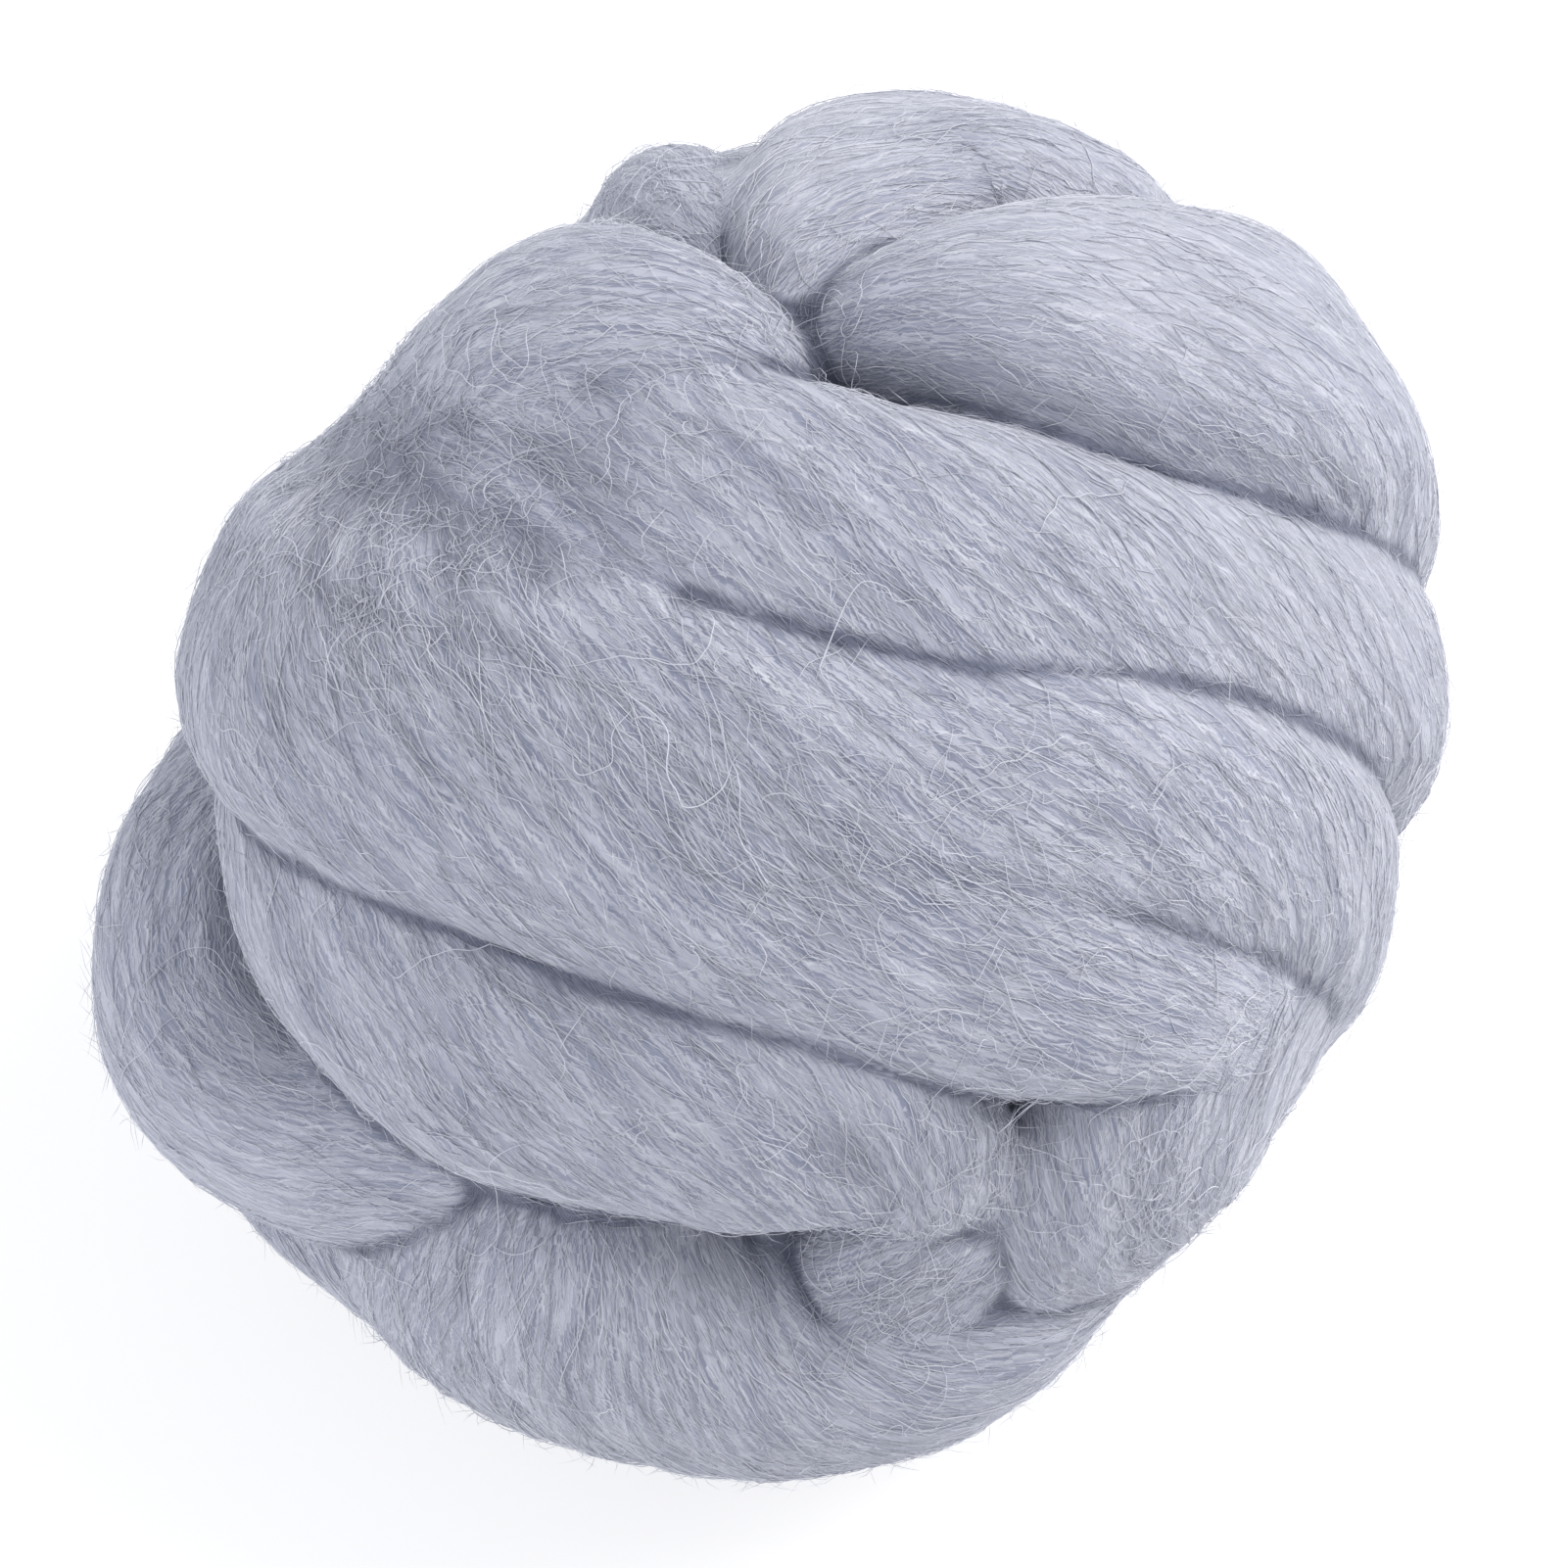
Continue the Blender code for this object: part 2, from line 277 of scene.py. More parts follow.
# How far the fibres lean over their strand, as (mm along the strand, degrees) rows. The strand has
# a slight twist, so they cross it at about 30 degrees, clockwise as seen from outside.
USUAL_LEAN = ((0, 28),)
LEAN = {
    "lobe_back_left": ((0, -18),),
    "lobe_top": ((0, 38), (30, 34), (50, 5)),
    "round_top": (
        (0, 0), (25, 8), (45, 26), (75, 36), (210, 20), (245, 38), (285, 24), (320, 5),
    ),
    "lobe_left": ((0, 5), (30, -12), (55, -8)),
    "round_middle": (
        (0, -10), (30, 5), (50, 27), (100, 40), (130, 40), (280, 20), (300, 6), (340, 0),
    ),
    "band_middle": ((30, 46), (60, 43), (90, 26), (140, 28), (165, 42), (185, 5)),
    "band_between": ((40, 40), (80, 28)),
    "band_lower": ((0, 18), (40, 27), (90, 36)),
    "strand_corner": ((0, -30), (30, -40)),
    "lobe_bottom": ((0, 30), (40, 44), (70, 34)),
    "tucked_end": ((0, 40),),
}
CORE_RADII = (50.0, 52.0, 38.0)  # the wound middle that every turn lies on
COURSE_RADII = (56.0, 58.0, 44.0)  # where the middles of the turns run
print(len(TURNS), "turns,", sum(len(rows) for rows in TURNS.values()), "bends")

# %% [markdown]
# ## From a table to a soft tube
#
# A strand has a flattened round section, squarer than an ellipse where it is pressed. The section
# is carried along a smooth course. Its flat side keeps facing out of the ball, so the strand never
# rolls over.

# %% Course, section and surface of a turn
SECTION_POWER = 2.7  # 2 is an ellipse; a pressed strand is a little squarer
SOFT_END = 0.45  # length of a turn's rounded end, as a share of its width
BLUNT_TIP = 0.12  # how far into that rounding the tip is cut off
EASING_PASSES = 100  # with stations 1 mm apart; fewer for wider ones, by the square
FINE_POINTS = 24  # between two rows of a table, before they are spaced evenly


def unit(vectors):
    """Each vector divided by its own length."""
    return vectors / np.linalg.norm(vectors, axis=-1, keepdims=True)


def smooth_course(rows, step):
    """Between two rows runs a cubic whose slope at a row is half the way from the row before it to
    the row after it. Its fine points are then spaced evenly by their length along the curve."""
    knots = np.array(rows, float)
    padded = np.vstack([2 * knots[0] - knots[1], knots, 2 * knots[-1] - knots[-2]])
    t = np.linspace(0, 1, FINE_POINTS, endpoint=False)[None, :, None]
    p0, p1, p2, p3 = (padded[i : len(padded) - 3 + i][:, None] for i in range(4))
    cubic = 2 * p1 + (p2 - p0) * t + (2 * p0 - 5 * p1 + 4 * p2 - p3) * t**2
    cubic = (cubic + (3 * p1 - p0 - 3 * p2 + p3) * t**3) / 2
    dense = np.vstack([cubic.reshape(-1, knots.shape[1]), knots[-1:]])
    strides = np.linalg.norm(np.diff(dense[:, :3], axis=0), axis=1)
    length = np.concatenate([[0], np.cumsum(strides)])
    stations = np.linspace(0, length[-1], round(length[-1] / step) + 1)
    return np.column_stack([np.interp(stations, length, column) for column in dense.T]), stations


def eased(values, passes):
    """A running 1-2-1 average along the first axis, its two ends kept."""
    values = values.copy()
    for _ in range(passes):
        values[1:-1] = (values[:-2] + 2 * values[1:-1] + values[2:]) / 4
    return values


def turn_course(name, step):
    """Everything that is known along a turn's middle line, as arrays with a row per station.
    lay is how far round the strand a fibre has moved by its lean: the sum of tan(lean)."""
    course, stations = smooth_course(TURNS[name], step)
    middle = course[:, :3]
    along = unit(np.gradient(middle, axis=0))
    outward = unit(middle / np.array(COURSE_RADII) ** 2)
    across = eased(np.cross(along, outward), round(EASING_PASSES / step**2))
    across = unit(across - along * (across * along).sum(1, keepdims=True))
    width = course[:, COLUMNS.index("across")]
    depth = course[:, COLUMNS.index("deep")]
    near_end = np.minimum(stations, stations[-1] - stations) / (SOFT_END * width)
    swell = np.sqrt(1 - (1 - np.clip(near_end, BLUNT_TIP, 1)) ** 2)
    places, degrees = np.transpose(LEAN.get(name, USUAL_LEAN)).astype(float)
    lean = np.radians(np.interp(stations, places, degrees))
    return {
        "stations": stations,
        "lean": lean,
        "lay": np.cumsum(np.tan(lean)) * stations[1],
        "middle": middle,
        "along": along,
        "across": across,
        "out": np.cross(across, along),
        "half_width": swell * width / 2,
        "half_depth": swell * depth / 2,
    }


def turn_surface(course, around):
    """The surface at each station and each angle round the strand, angle 0 facing out:
    middle + across * half width * sin^(2/p) + out * half depth * cos^(2/p), signs kept."""
    power = 2 / SECTION_POWER
    side = np.sign(np.sin(around)) * np.abs(np.sin(around)) ** power
    rise = np.sign(np.cos(around)) * np.abs(np.cos(around)) ** power
    sideways = course["across"] * course["half_width"][:, None]
    outwards = course["out"] * course["half_depth"][:, None]
    return (
        course["middle"][:, None]
        + sideways[:, None] * side[None, :, None]
        + outwards[:, None] * rise[None, :, None]
    )


# %% A mesh from arrays
def mesh_object(name, points, loops, sizes):
    """A mesh object from whole arrays: points in metres, the corner indices of all the faces in
    one row, and how many corners each face has."""
    sizes = np.asarray(sizes, np.int32)
    mesh = bpy.data.meshes.new(name)
    mesh.vertices.add(len(points))
    mesh.vertices.foreach_set("co", np.ascontiguousarray(points, np.float32).ravel())
    mesh.loops.add(len(loops))
    mesh.loops.foreach_set("vertex_index", np.ascontiguousarray(loops, np.int32))
    mesh.polygons.add(len(sizes))
    starts = np.cumsum(sizes) - sizes
    mesh.polygons.foreach_set("loop_start", starts.astype(np.int32))
    mesh.update(calc_edges=True)
    mesh.polygons.foreach_set("use_smooth", np.ones(len(sizes), bool))
    made = bpy.data.objects.new(name, mesh)
    bpy.context.scene.collection.objects.link(made)
    return made


def tube_faces(rings, sides):
    """Corner indices of a closed tube: quads between the rings, and one face over each end."""
    ring, side = np.meshgrid(np.arange(rings - 1), np.arange(sides), indexing="ij")
    here, there = ring * sides + side, ring * sides + (side + 1) % sides
    quads = np.stack([here, here + sides, there + sides, there], axis=-1).reshape(-1, 4)
    first = np.arange(sides)
    last = (rings - 1) * sides + np.arange(sides)[::-1]
    return quads, first, last


# %% [markdown]
# ## One soft skin
#
# Where two turns of loose wool touch, their fibres mingle: the crease between them is a soft
# valley, not a sharp line. So the tubes are only a mould. They are merged into one skin of small
# even squares, and the skin is smoothed, which melts shallow creases and rounds deep ones.

# %% Mould the tubes, merge them and smooth the skin
MOULD_STEP = 1.5  # between a tube's rings, in mm
MOULD_SIDES = 40
CORE_RINGS = 40
CORE_POLE = 0.02  # radians from the pole of the wound middle to its first ring
SKIN_CELL = 0.92  # size of the skin's squares, in mm
SKIN_SMOOTHING = 6
SHELL_ROUNDS = 400  # more than it takes to reach all of the skin from any of its points


def mould(turns):
    """All the tubes in one mesh, with the wound middle: a sphere's points are (sin t cos a,
    sin t sin a, cos t), and each of the three is multiplied by its own radius."""
    points, loops, sizes, count = [], [], [], 0
    around = np.linspace(0, 2 * math.pi, MOULD_SIDES, endpoint=False)
    grids = [turn_surface(turn_course(name, MOULD_STEP), around) for name in turns]
    tilt = np.linspace(CORE_POLE, math.pi - CORE_POLE, CORE_RINGS)[:, None]
    aside, ahead = np.sin(tilt) * np.cos(around), np.sin(tilt) * np.sin(around)
    ball = np.stack([aside, ahead, np.broadcast_to(np.cos(tilt), aside.shape)], axis=-1)
    grids.append(ball * CORE_RADII)
    for grid in grids:
        quads, first, last = tube_faces(len(grid), MOULD_SIDES)
        points.append(to_table(grid).reshape(-1, 3))
        loops.append(np.concatenate([quads.ravel(), first, last]) + count)
        sizes.append([4] * len(quads) + [MOULD_SIDES] * 2)
        count += grid.shape[0] * MOULD_SIDES
    return mesh_object("mould", np.vstack(points), np.concatenate(loops), np.concatenate(sizes))


def shaped(piece):
    """The piece's mesh becomes what its modifiers make of it."""
    graph = bpy.context.evaluated_depsgraph_get()
    result = bpy.data.meshes.new_from_object(piece.evaluated_get(graph))
    piece.modifiers.clear()
    piece.data = result


def read_points(mesh):
    points = np.empty(len(mesh.vertices) * 3, np.float32)
    mesh.vertices.foreach_get("co", points)
    return points.reshape(-1, 3).astype(float)


def read_faces(mesh):
    """Corner indices of every face, for a mesh of quads."""
    loops = np.empty(len(mesh.loops), np.int32)
    mesh.loops.foreach_get("vertex_index", loops)
    return loops.reshape(-1, 4)


def outer_shell(points, quads):
    """The largest connected surface: each point takes the lowest index that it can reach, and the
    index that most points share is kept. Sealed hollows between the turns drop out."""
    reach = np.arange(len(points))
    for _ in range(SHELL_ROUNDS):
        lowest = reach[quads].min(axis=1)
        before = reach.copy()
        np.minimum.at(reach, quads.ravel(), np.repeat(lowest, 4))
        reach = reach[reach]
        if (before == reach).all():
            break
    kept = reach == np.bincount(reach).argmax()
    renumber = np.cumsum(kept) - 1
    return points[kept], renumber[quads[kept[quads[:, 0]]]]


skin = mould(TURNS)
merge = skin.modifiers.new("merge", "REMESH")
merge.mode = "VOXEL"
merge.voxel_size = SKIN_CELL * MM
soften = skin.modifiers.new("soften", "SMOOTH")
soften.factor = 0.5
soften.iterations = SKIN_SMOOTHING
shaped(skin)
skin_points, skin_quads = outer_shell(read_points(skin.data), read_faces(skin.data))
bpy.data.objects.remove(skin)
print("skin:", len(skin_points), "points,", 2 * len(skin_quads), "triangles")

# %% [markdown]
# ## Where turns grow together
#
# Loose wool felts: where two turns have lain pressed together, their fibres mix and the crease
# between them fades out. There the skin is smoothed many times over, which fills the crease and
# lowers its edges; everywhere else it keeps its creases.

# %% Let some creases fade
FADES = (  # right, up, radius, strength
    (-33, 27, 12, 1.0),  # the fuzzy hollow that the upper two bands come out of
    (-37, 32, 14, 1.0),
    (-25, 26, 14, 1.0),
    (-16, 22, 8, 0.8),
    (-13, 20, 7, 0.6),
    (-20, 33, 9, 0.8),
    (-11, 34, 8, 0.8),
    (-3, 34, 6, 0.7),
    (13, -49, 9, 0.5),  # the tucked end
    (23, -38, 7, 0.5),
    (46, -24, 7, 0.5),
    (-4, 56, 5, 0.6),
)
FADE_PASSES = 110
PITS_AND_SHADE = (  # where the wool dips in and shade is painted on: right, up, radius, depth in mm
    (-36, 26, 19, 1.3),
    (-27, 19, 19, 1.3),
    (-16, 29, 15, 0.9),
    (-51, 20, 12, 0.9),
    (-8, -3, 10, 0.6),
    (5, -13, 11, 0.8),
    (18, -20, 9, 0.7),
    (5, -35, 10, 1.1),
    (5, -60, 11, 0.9),
)
skin_edges = np.concatenate([skin_quads[:, [k, (k + 1) % 4]] for k in range(4)])
skin_edges = skin_edges[skin_edges[:, 0] < skin_edges[:, 1]]
edge_from, edge_to = np.concatenate([skin_edges, skin_edges[:, ::-1]]).T  # every edge, both ways


def neighbour_mean(values):
    """Each skin point's average over the points that an edge joins it to."""
    columns = values.reshape(len(values), -1).T
    total = [np.bincount(edge_from, column[edge_to], len(values)) for column in columns]
    return (np.stack(total, -1) / np.bincount(edge_from)[:, None]).reshape(values.shape)


def smoothed(values, passes):
    for _ in range(passes):
        values = neighbour_mean(values)
    return values


def near_places(points, places):
    """The most that a table's last column gives each point. It falls off from the row's place to
    its radius as (1 + cos(pi * r)) / 2, and it is 0 on the far side of the ball."""
    face = to_face(points)
    found = np.zeros(len(points))
    for right, up, radius, most in places:
        away = np.hypot(face[:, 0] - right, face[:, 1] - up) / radius
        near = most * 0.5 * (1 + np.cos(math.pi * away.clip(0, 1)))
        found = np.maximum(found, near * (face[:, 2] > 0))
    return found


strength = near_places(skin_points, FADES)
for _ in range(FADE_PASSES):
    skin_points = skin_points + strength[:, None] * (neighbour_mean(skin_points) - skin_points)
# a pit dents the skin, and part of its depth is also painted on as shade
skin_pits_and_shade = near_places(skin_points, PITS_AND_SHADE)

# %% [markdown]
# ## Which strand does each point belong to?
#
# The skin is one surface, but its fibres still run along the strand that they came from. A point
# belongs to the turn whose section it is nearest to, and gets two numbers there: how far along
# that strand it lies and how far round it. They are the skin's own coordinates for relief, for
# streaks of colour and for the direction of the fibres.

# %% Strand coordinates of the skin
FIELD_STEP = 2.0
END_FALL = 5.0  # this far past a turn's end, in mm, counts as much as being on its surface
CHUNK = 20000  # points handled at a time, which spares memory
courses = {name: turn_course(name, FIELD_STEP) for name in TURNS}


def strand_coordinates(face_points):
    """For each point: the turn it lies on, the length along it and the way round it, all in mm.
    In a turn's section the point's distance is |a|^p + |o|^p, where a and o are its ways across
    and out as shares of the half width and half depth. It is 1 on the surface."""
    best = np.full(len(face_points), np.inf)
    turn_of = np.zeros(len(face_points), int)
    along = np.zeros(len(face_points))
    round_it = np.zeros(len(face_points))
    for index, course in enumerate(courses.values()):
        middle = course["middle"]
        nearest = np.empty(len(face_points), int)
        for start in range(0, len(face_points), CHUNK):
            part = face_points[start : start + CHUNK]
            squares = (part**2).sum(1)[:, None] - 2 * part @ middle.T + (middle**2).sum(1)
            nearest[start : start + CHUNK] = squares.argmin(1)
        offset = face_points - middle[nearest]
        ahead = (offset * course["along"][nearest]).sum(1)
        a = (offset * course["across"][nearest]).sum(1) / course["half_width"][nearest]
        o = (offset * course["out"][nearest]).sum(1) / course["half_depth"][nearest]
        past_the_end = np.clip(np.abs(ahead) - FIELD_STEP, 0, None) / END_FALL
        measure = np.abs(a) ** SECTION_POWER + np.abs(o) ** SECTION_POWER + past_the_end
        closer = measure < best
        best = np.where(closer, measure, best)
        turn_of[closer] = index
        along[closer] = (course["stations"][nearest] + ahead)[closer]
        mean_radius = (course["half_width"] + course["half_depth"]).mean() / 2
        round_it[closer] = (np.arctan2(a, o) * mean_radius)[closer]
    return turn_of, along, round_it


skin_face = to_face(skin_points)
skin_turn, skin_along, skin_round = strand_coordinates(skin_face)
print("points on each turn:", dict(zip(TURNS, np.bincount(skin_turn, minlength=len(TURNS)))))

# %% [markdown]
# ## Relief: a strand is a bundle of slivers
#
# Combed wool is never perfectly even. Slivers of fibre lie side by side in a strand, so its
# surface has long shallow ridges that run with the fibres, a few millimetres apart, and soft
# lumps where more wool has gathered. The relief is noise that is stretched along the strand.

# %% Noise from arrays
HASH = np.array([73856093, 19349663, 83492791], np.int64)  # large primes, one for each axis
NOISE_HEIGHTS = 4096


def soft_noise(places, seed):
    """Value noise from -1 to 1: a random height at every whole-number place, joined by smooth
    steps. The last axis of places holds up to three coordinates."""
    heights = np.random.default_rng(seed).uniform(-1, 1, NOISE_HEIGHTS)
    cells = np.floor(places).astype(np.int64)
    share = places - cells
    share = share * share * (3 - 2 * share)
    total = np.zeros(places.shape[:-1])
    for corner in np.ndindex(*(2,) * places.shape[-1]):
        step = np.array(corner)
        weight = np.prod(np.where(step == 1, share, 1 - share), axis=-1)
        key = ((cells + step) * HASH[: places.shape[-1]]).sum(-1) % NOISE_HEIGHTS
        total += weight * heights[key]
    return total


def along_turns(turn_of, along, what):
    """A value of each point's own turn, read at the point's length along it."""
    found = np.zeros((len(turn_of),) + courses["round_top"][what].shape[1:])
    for index, course in enumerate(courses.values()):
        mine = turn_of == index
        values = course[what].reshape(len(course["stations"]), -1)
        read = [np.interp(along[mine], course["stations"], column) for column in values.T]
        found[mine] = np.stack(read, -1).reshape(found[mine].shape)
    return found


RIDGES = ((26, 5.0, 0.50, 11), (15, 2.6, 0.22, 12))  # length, width and height in mm, and a seed
LUMP_SIZE = 13.0
LUMP_HEIGHT = 0.65
LUMP_SEED = 13
TURN_SPACING = 37.0  # gives each turn a place of its own in the noise


def strand_relief(turn_of, along, lay, face_points):
    """Height in mm: the sum of ridges, |noise| * height, and of lumps, noise * height. The ridges
    keep to one lay, so they lean over the strand as the fibres do."""
    relief = 0.0
    for length, width, height, seed in RIDGES:
        place = np.stack([along / length + turn_of * TURN_SPACING, lay / width], -1)
        relief = relief + height * np.abs(soft_noise(place, seed))
    return relief + LUMP_HEIGHT * soft_noise(face_points / LUMP_SIZE, LUMP_SEED)


def quad_normals(points, quads):
    """The cross product of each quad's diagonals, whose length is twice the quad's area."""
    corner = points[quads]
    return np.cross(corner[:, 2] - corner[:, 0], corner[:, 3] - corner[:, 1])


def point_normals(points, quads):
    """A point's normal is the sum of those of the quads round it, made one unit long."""
    columns = np.repeat(quad_normals(points, quads), 4, axis=0).T
    return unit(np.stack([np.bincount(quads.ravel(), c, len(points)) for c in columns], axis=-1))


# %% [markdown]
# ## Resting on the table
#
# Soft wool spreads where it rests. Each height is bent by a curve that is straight far above the
# table and levels off just over it, so the underside becomes a flat spot with a rounded rim. Wool
# also springs into the wide valleys between two turns, which leaves only a narrow crease open: the
# skin is raised there by the difference between a little smoothing and a lot.

# %% A curve that levels off on the table
REST_HEIGHT = 0.25 * MM
REST_SOFTNESS = 0.9 * MM


def rest_on_table(points):
    """z becomes lift + s * log(1 + exp((z - lift) / s)), which never goes below the lift."""
    rested = points.copy()
    over = (points[..., 2] - REST_HEIGHT) / REST_SOFTNESS
    rested[..., 2] = REST_HEIGHT + REST_SOFTNESS * np.logaddexp(0, over)
    return rested


# %% Fill the wide valleys
VALLEY_PASSES = (14, 70)  # rounds of smoothing that keep a valley, and that level it
VALLEY_FILL = 0.8
KEPT_OPEN = (  # where the wool is pinched and stays deep: right, up, radius, strength
    (3, 40, 12, 1.0),
    (-3, 52, 10, 0.9),
)

near, wide = (smoothed(skin_points, passes) for passes in VALLEY_PASSES)
out = point_normals(skin_points, skin_quads)
fill = VALLEY_FILL * ((wide - near) * out).sum(1).clip(0, None)
fill = fill * (1 - near_places(skin_points, KEPT_OPEN))
skin_points = skin_points + fill[:, None] * out
print("valleys filled by up to", (fill.max() / MM).round(2), "mm")

# %% Raise the relief and set the ball down
MEETING_PASSES = 8  # rounds of smoothing of the relief where two turns meet
MEETING_GAIN = 3  # the relief is wholly even where the smoothed line is still a third or more
skin_lay = skin_round - along_turns(skin_turn, skin_along, "lay")
relief = strand_relief(skin_turn, skin_along, skin_lay, skin_face)
meeting = np.zeros(len(skin_points))  # 1 on the points of quads that straddle two turns
meeting[skin_quads[np.ptp(skin_turn[skin_quads], axis=1) > 0]] = 1
seam = neighbour_mean(meeting)
level = (MEETING_GAIN * smoothed(meeting, MEETING_PASSES)).clip(0, 1)
relief = relief * (1 - level) + smoothed(relief, MEETING_PASSES) * level
raised = (relief - skin_pits_and_shade)[:, None] * MM
skin_points = skin_points + point_normals(skin_points, skin_quads) * raised
skin_points = rest_on_table(skin_points)
skin_normals = point_normals(skin_points, skin_quads)
print("relief from", relief.min().round(2), "to", relief.max().round(2), "mm")

# %% How deep a point lies in a crease
HOLLOW_PASSES = (14, 60)  # rounds of smoothing: few find the crease itself, many its slopes
HOLLOW_WEIGHTS = (1.6, 0.7)
SEAM_PAINTED_SHADE = 1.9  # how much deeper the very line counts where two turns meet, which paints a thin dark line of shade there
PAINTED_PIT_SHADE_SKIN = 0.85  # how much of a pit's depth is painted as shade on the mass of wool


def crease_depth(points, normals):
    """How far the surface moves outwards when it is smoothed, in mm: positive in a crease."""
    smooth, depth = points, 0.0
    for done in range(max(HOLLOW_PASSES)):
        smooth = neighbour_mean(smooth)
        if done + 1 in HOLLOW_PASSES:
            moved = ((smooth - points) * normals).sum(1) / MM
            depth = depth + HOLLOW_WEIGHTS[HOLLOW_PASSES.index(done + 1)] * moved
    return depth


# crease depth, from which shade is painted on the skin and on the fibres
skin_hollow = crease_depth(skin_points, skin_normals)
skin_hollow += SEAM_PAINTED_SHADE * seam * skin_hollow.clip(0, 1)
least, most = np.percentile(skin_hollow, (5, 95)).round(2)
print("crease depth: 5% of the skin is under", least, "mm and 5% is over", most, "mm")

# %% [markdown]
# ## Wool
#
# Dyed wool looks matt because light enters the fibres and comes back from everywhere, and it has a
# soft bright edge where fibres stand up, which a sheen gives. Its colour varies from fibre to
# fibre, so fine streaks run along the strand. The streak pattern reads the strand coordinates,
# stretched far along the strand, so that it follows every bend.

# %% The wool's colours and its surface
WOOL_PAINTED_SHADE = (0.105, 0.115, 0.165, 1.0)  # painted shade, deep in a crease where little light comes back
WOOL_GAP = (0.205, 0.218, 0.292, 1.0)  # between the fibres
WOOL_BODY = (0.385, 0.396, 0.468, 1.0)  # the mass of fibres
WOOL_EVEN = (0.420, 0.428, 0.495, 1.0)  # where all fibres lie close and no gap shows
WOOL_FIBRE = (0.570, 0.577, 0.640, 1.0)  # a fibre that lies on top
WOOL_PALE = (0.650, 0.660, 0.730, 1.0)  # a single fibre that stands clear of the others
WOOL_SURFACE = {  # matt, with a soft sheen where fibres are seen edge on
    "Roughness": 0.85,
    "Specular IOR Level": 0.15,
    "Sheen Weight": 0.45,
    "Sheen Roughness": 0.5,
    "Sheen Tint": (0.88, 0.90, 0.96, 1.0),
}
COMBED = (  # where the wool is smooth and even: right, up, radius, strength
    (34, 48, 26, 0.8),
    (50, 18, 20, 0.8),
    (60, -4, 14, 0.6),
    (-52, 16, 16, 0.4),
    (-50, -36, 16, 0.3),
    (2, 64, 12, 0.6),
)
EVENNESS = 0.60  # how much of the difference between fibres and gaps is gone there


def new_material(name, values):
    """A material whose shader has these values, with its node tree and that shader."""
    look = bpy.data.materials.new(name)
    look.use_nodes = True
    surface = look.node_tree.nodes["Principled BSDF"]
    for socket, value in values.items():
        surface.inputs[socket].default_value = value
    return look, look.node_tree, surface


# %% Helpers that make and join shader nodes
def feed(tree, socket, value):
    """Give a socket a fixed value, or link another node's output to it."""
    if isinstance(value, bpy.types.NodeSocket):
        tree.links.new(value, socket)
    else:
        socket.default_value = value


def new_node(tree, kind, values, **settings):
    """A node with some settings, whose inputs take fixed values or other nodes' outputs."""
    node = tree.nodes.new("ShaderNode" + kind)
    for name, setting in settings.items():
        setattr(node, name, setting)
    for name, value in values.items():
        feed(tree, node.inputs[name], value)
    return node


def combined(tree, operation, *values):
    """One Math node on outputs and numbers."""
    math_node = new_node(tree, "Math", {}, operation=operation)
    for socket, value in zip(math_node.inputs, values):
        feed(tree, socket, value)
    return math_node.outputs["Value"]


def stepped(tree, value, low, high, top=1.0):
    """0 below low, top above high, and a straight ramp between."""
    values = {"Value": value, "From Min": low, "From Max": high, "To Max": top}
    return new_node(tree, "MapRange", values).outputs["Result"]


def mixed_colour(tree, share, a, b):
    """From colour a to colour b by a share; each may be an output or a fixed colour."""
    values = {"Factor": share, "A": a, "B": b}
    return new_node(tree, "Mix", values, data_type="RGBA").outputs["Result"]


def attribute(tree, name):
    """The number that each point of the mesh holds under a name."""
    return new_node(tree, "Attribute", {}, attribute_name=name).outputs["Fac"]


# %% Lines of single fibres along the strand
UV_SPAN = 100.0  # mm of strand in one unit of the strand's UV map
NOISE_REACH = 0.25  # how far the noise usually strays from its middle
CRIMP_SIZE = (3.2, 1.6)  # length and width in mm of a fibre's bends
LINE_EVERY = 0.95  # mm between the lines of a sheet
LINE_DRIFT = (11.0, 2.4)  # length and width in mm of the lines' wandering
LINE_PUSH = 1.8  # how far they wander, counted in lines
LINE_EDGE = (0.02, 0.09)  # where a line starts and ends to fade, from its middle, in lines
LINE_LENGTH = (14.0, 0.6)  # length and width in mm of the stretches in which a line shows
LINE_SHOWN = (0.46, 0.60)  # the noise levels between which it comes in
SHEETS = (  # lean to the lay in radians, a shift of the pattern, crimp in mm
    (0.03, 0.0, 0.22),
    (0.33, 3.1, 0.30),
    (-0.28, 7.7, 0.30),
    (-0.09, 12.3, 0.26),
    (0.15, 17.9, 0.26),
    (-0.18, 23.3, 0.28),
)


def stretched_noise(tree, source, length, width, detail=1.0):
    """Noise whose features are `length` mm along the strand and `width` mm across it."""
    scale = (UV_SPAN / length, UV_SPAN / width, 1)
    place = new_node(tree, "Mapping", {"Vector": source, "Scale": scale}).outputs["Vector"]
    values = {"Vector": place, "Scale": 1.0, "Detail": detail}
    return new_node(tree, "TexNoise", values, noise_dimensions="2D").outputs["Fac"]


def crimped(tree, strand, turn, shift, crimp):
    """The strand's UV turned a little and bent from side to side by `crimp` mm."""
    values = {"Vector": strand, "Rotation": (0, 0, turn), "Location": (shift, shift, 0)}
    place = new_node(tree, "Mapping", values).outputs["Vector"]
    bend = stretched_noise(tree, place, *CRIMP_SIZE)
    aside = combined(tree, "MULTIPLY", bend, crimp / NOISE_REACH / UV_SPAN)
    parts = new_node(tree, "SeparateXYZ", {"Vector": place}).outputs
    across = combined(tree, "ADD", parts["Y"], aside)
    return new_node(tree, "CombineXYZ", {"X": parts["X"], "Y": across}).outputs["Vector"]


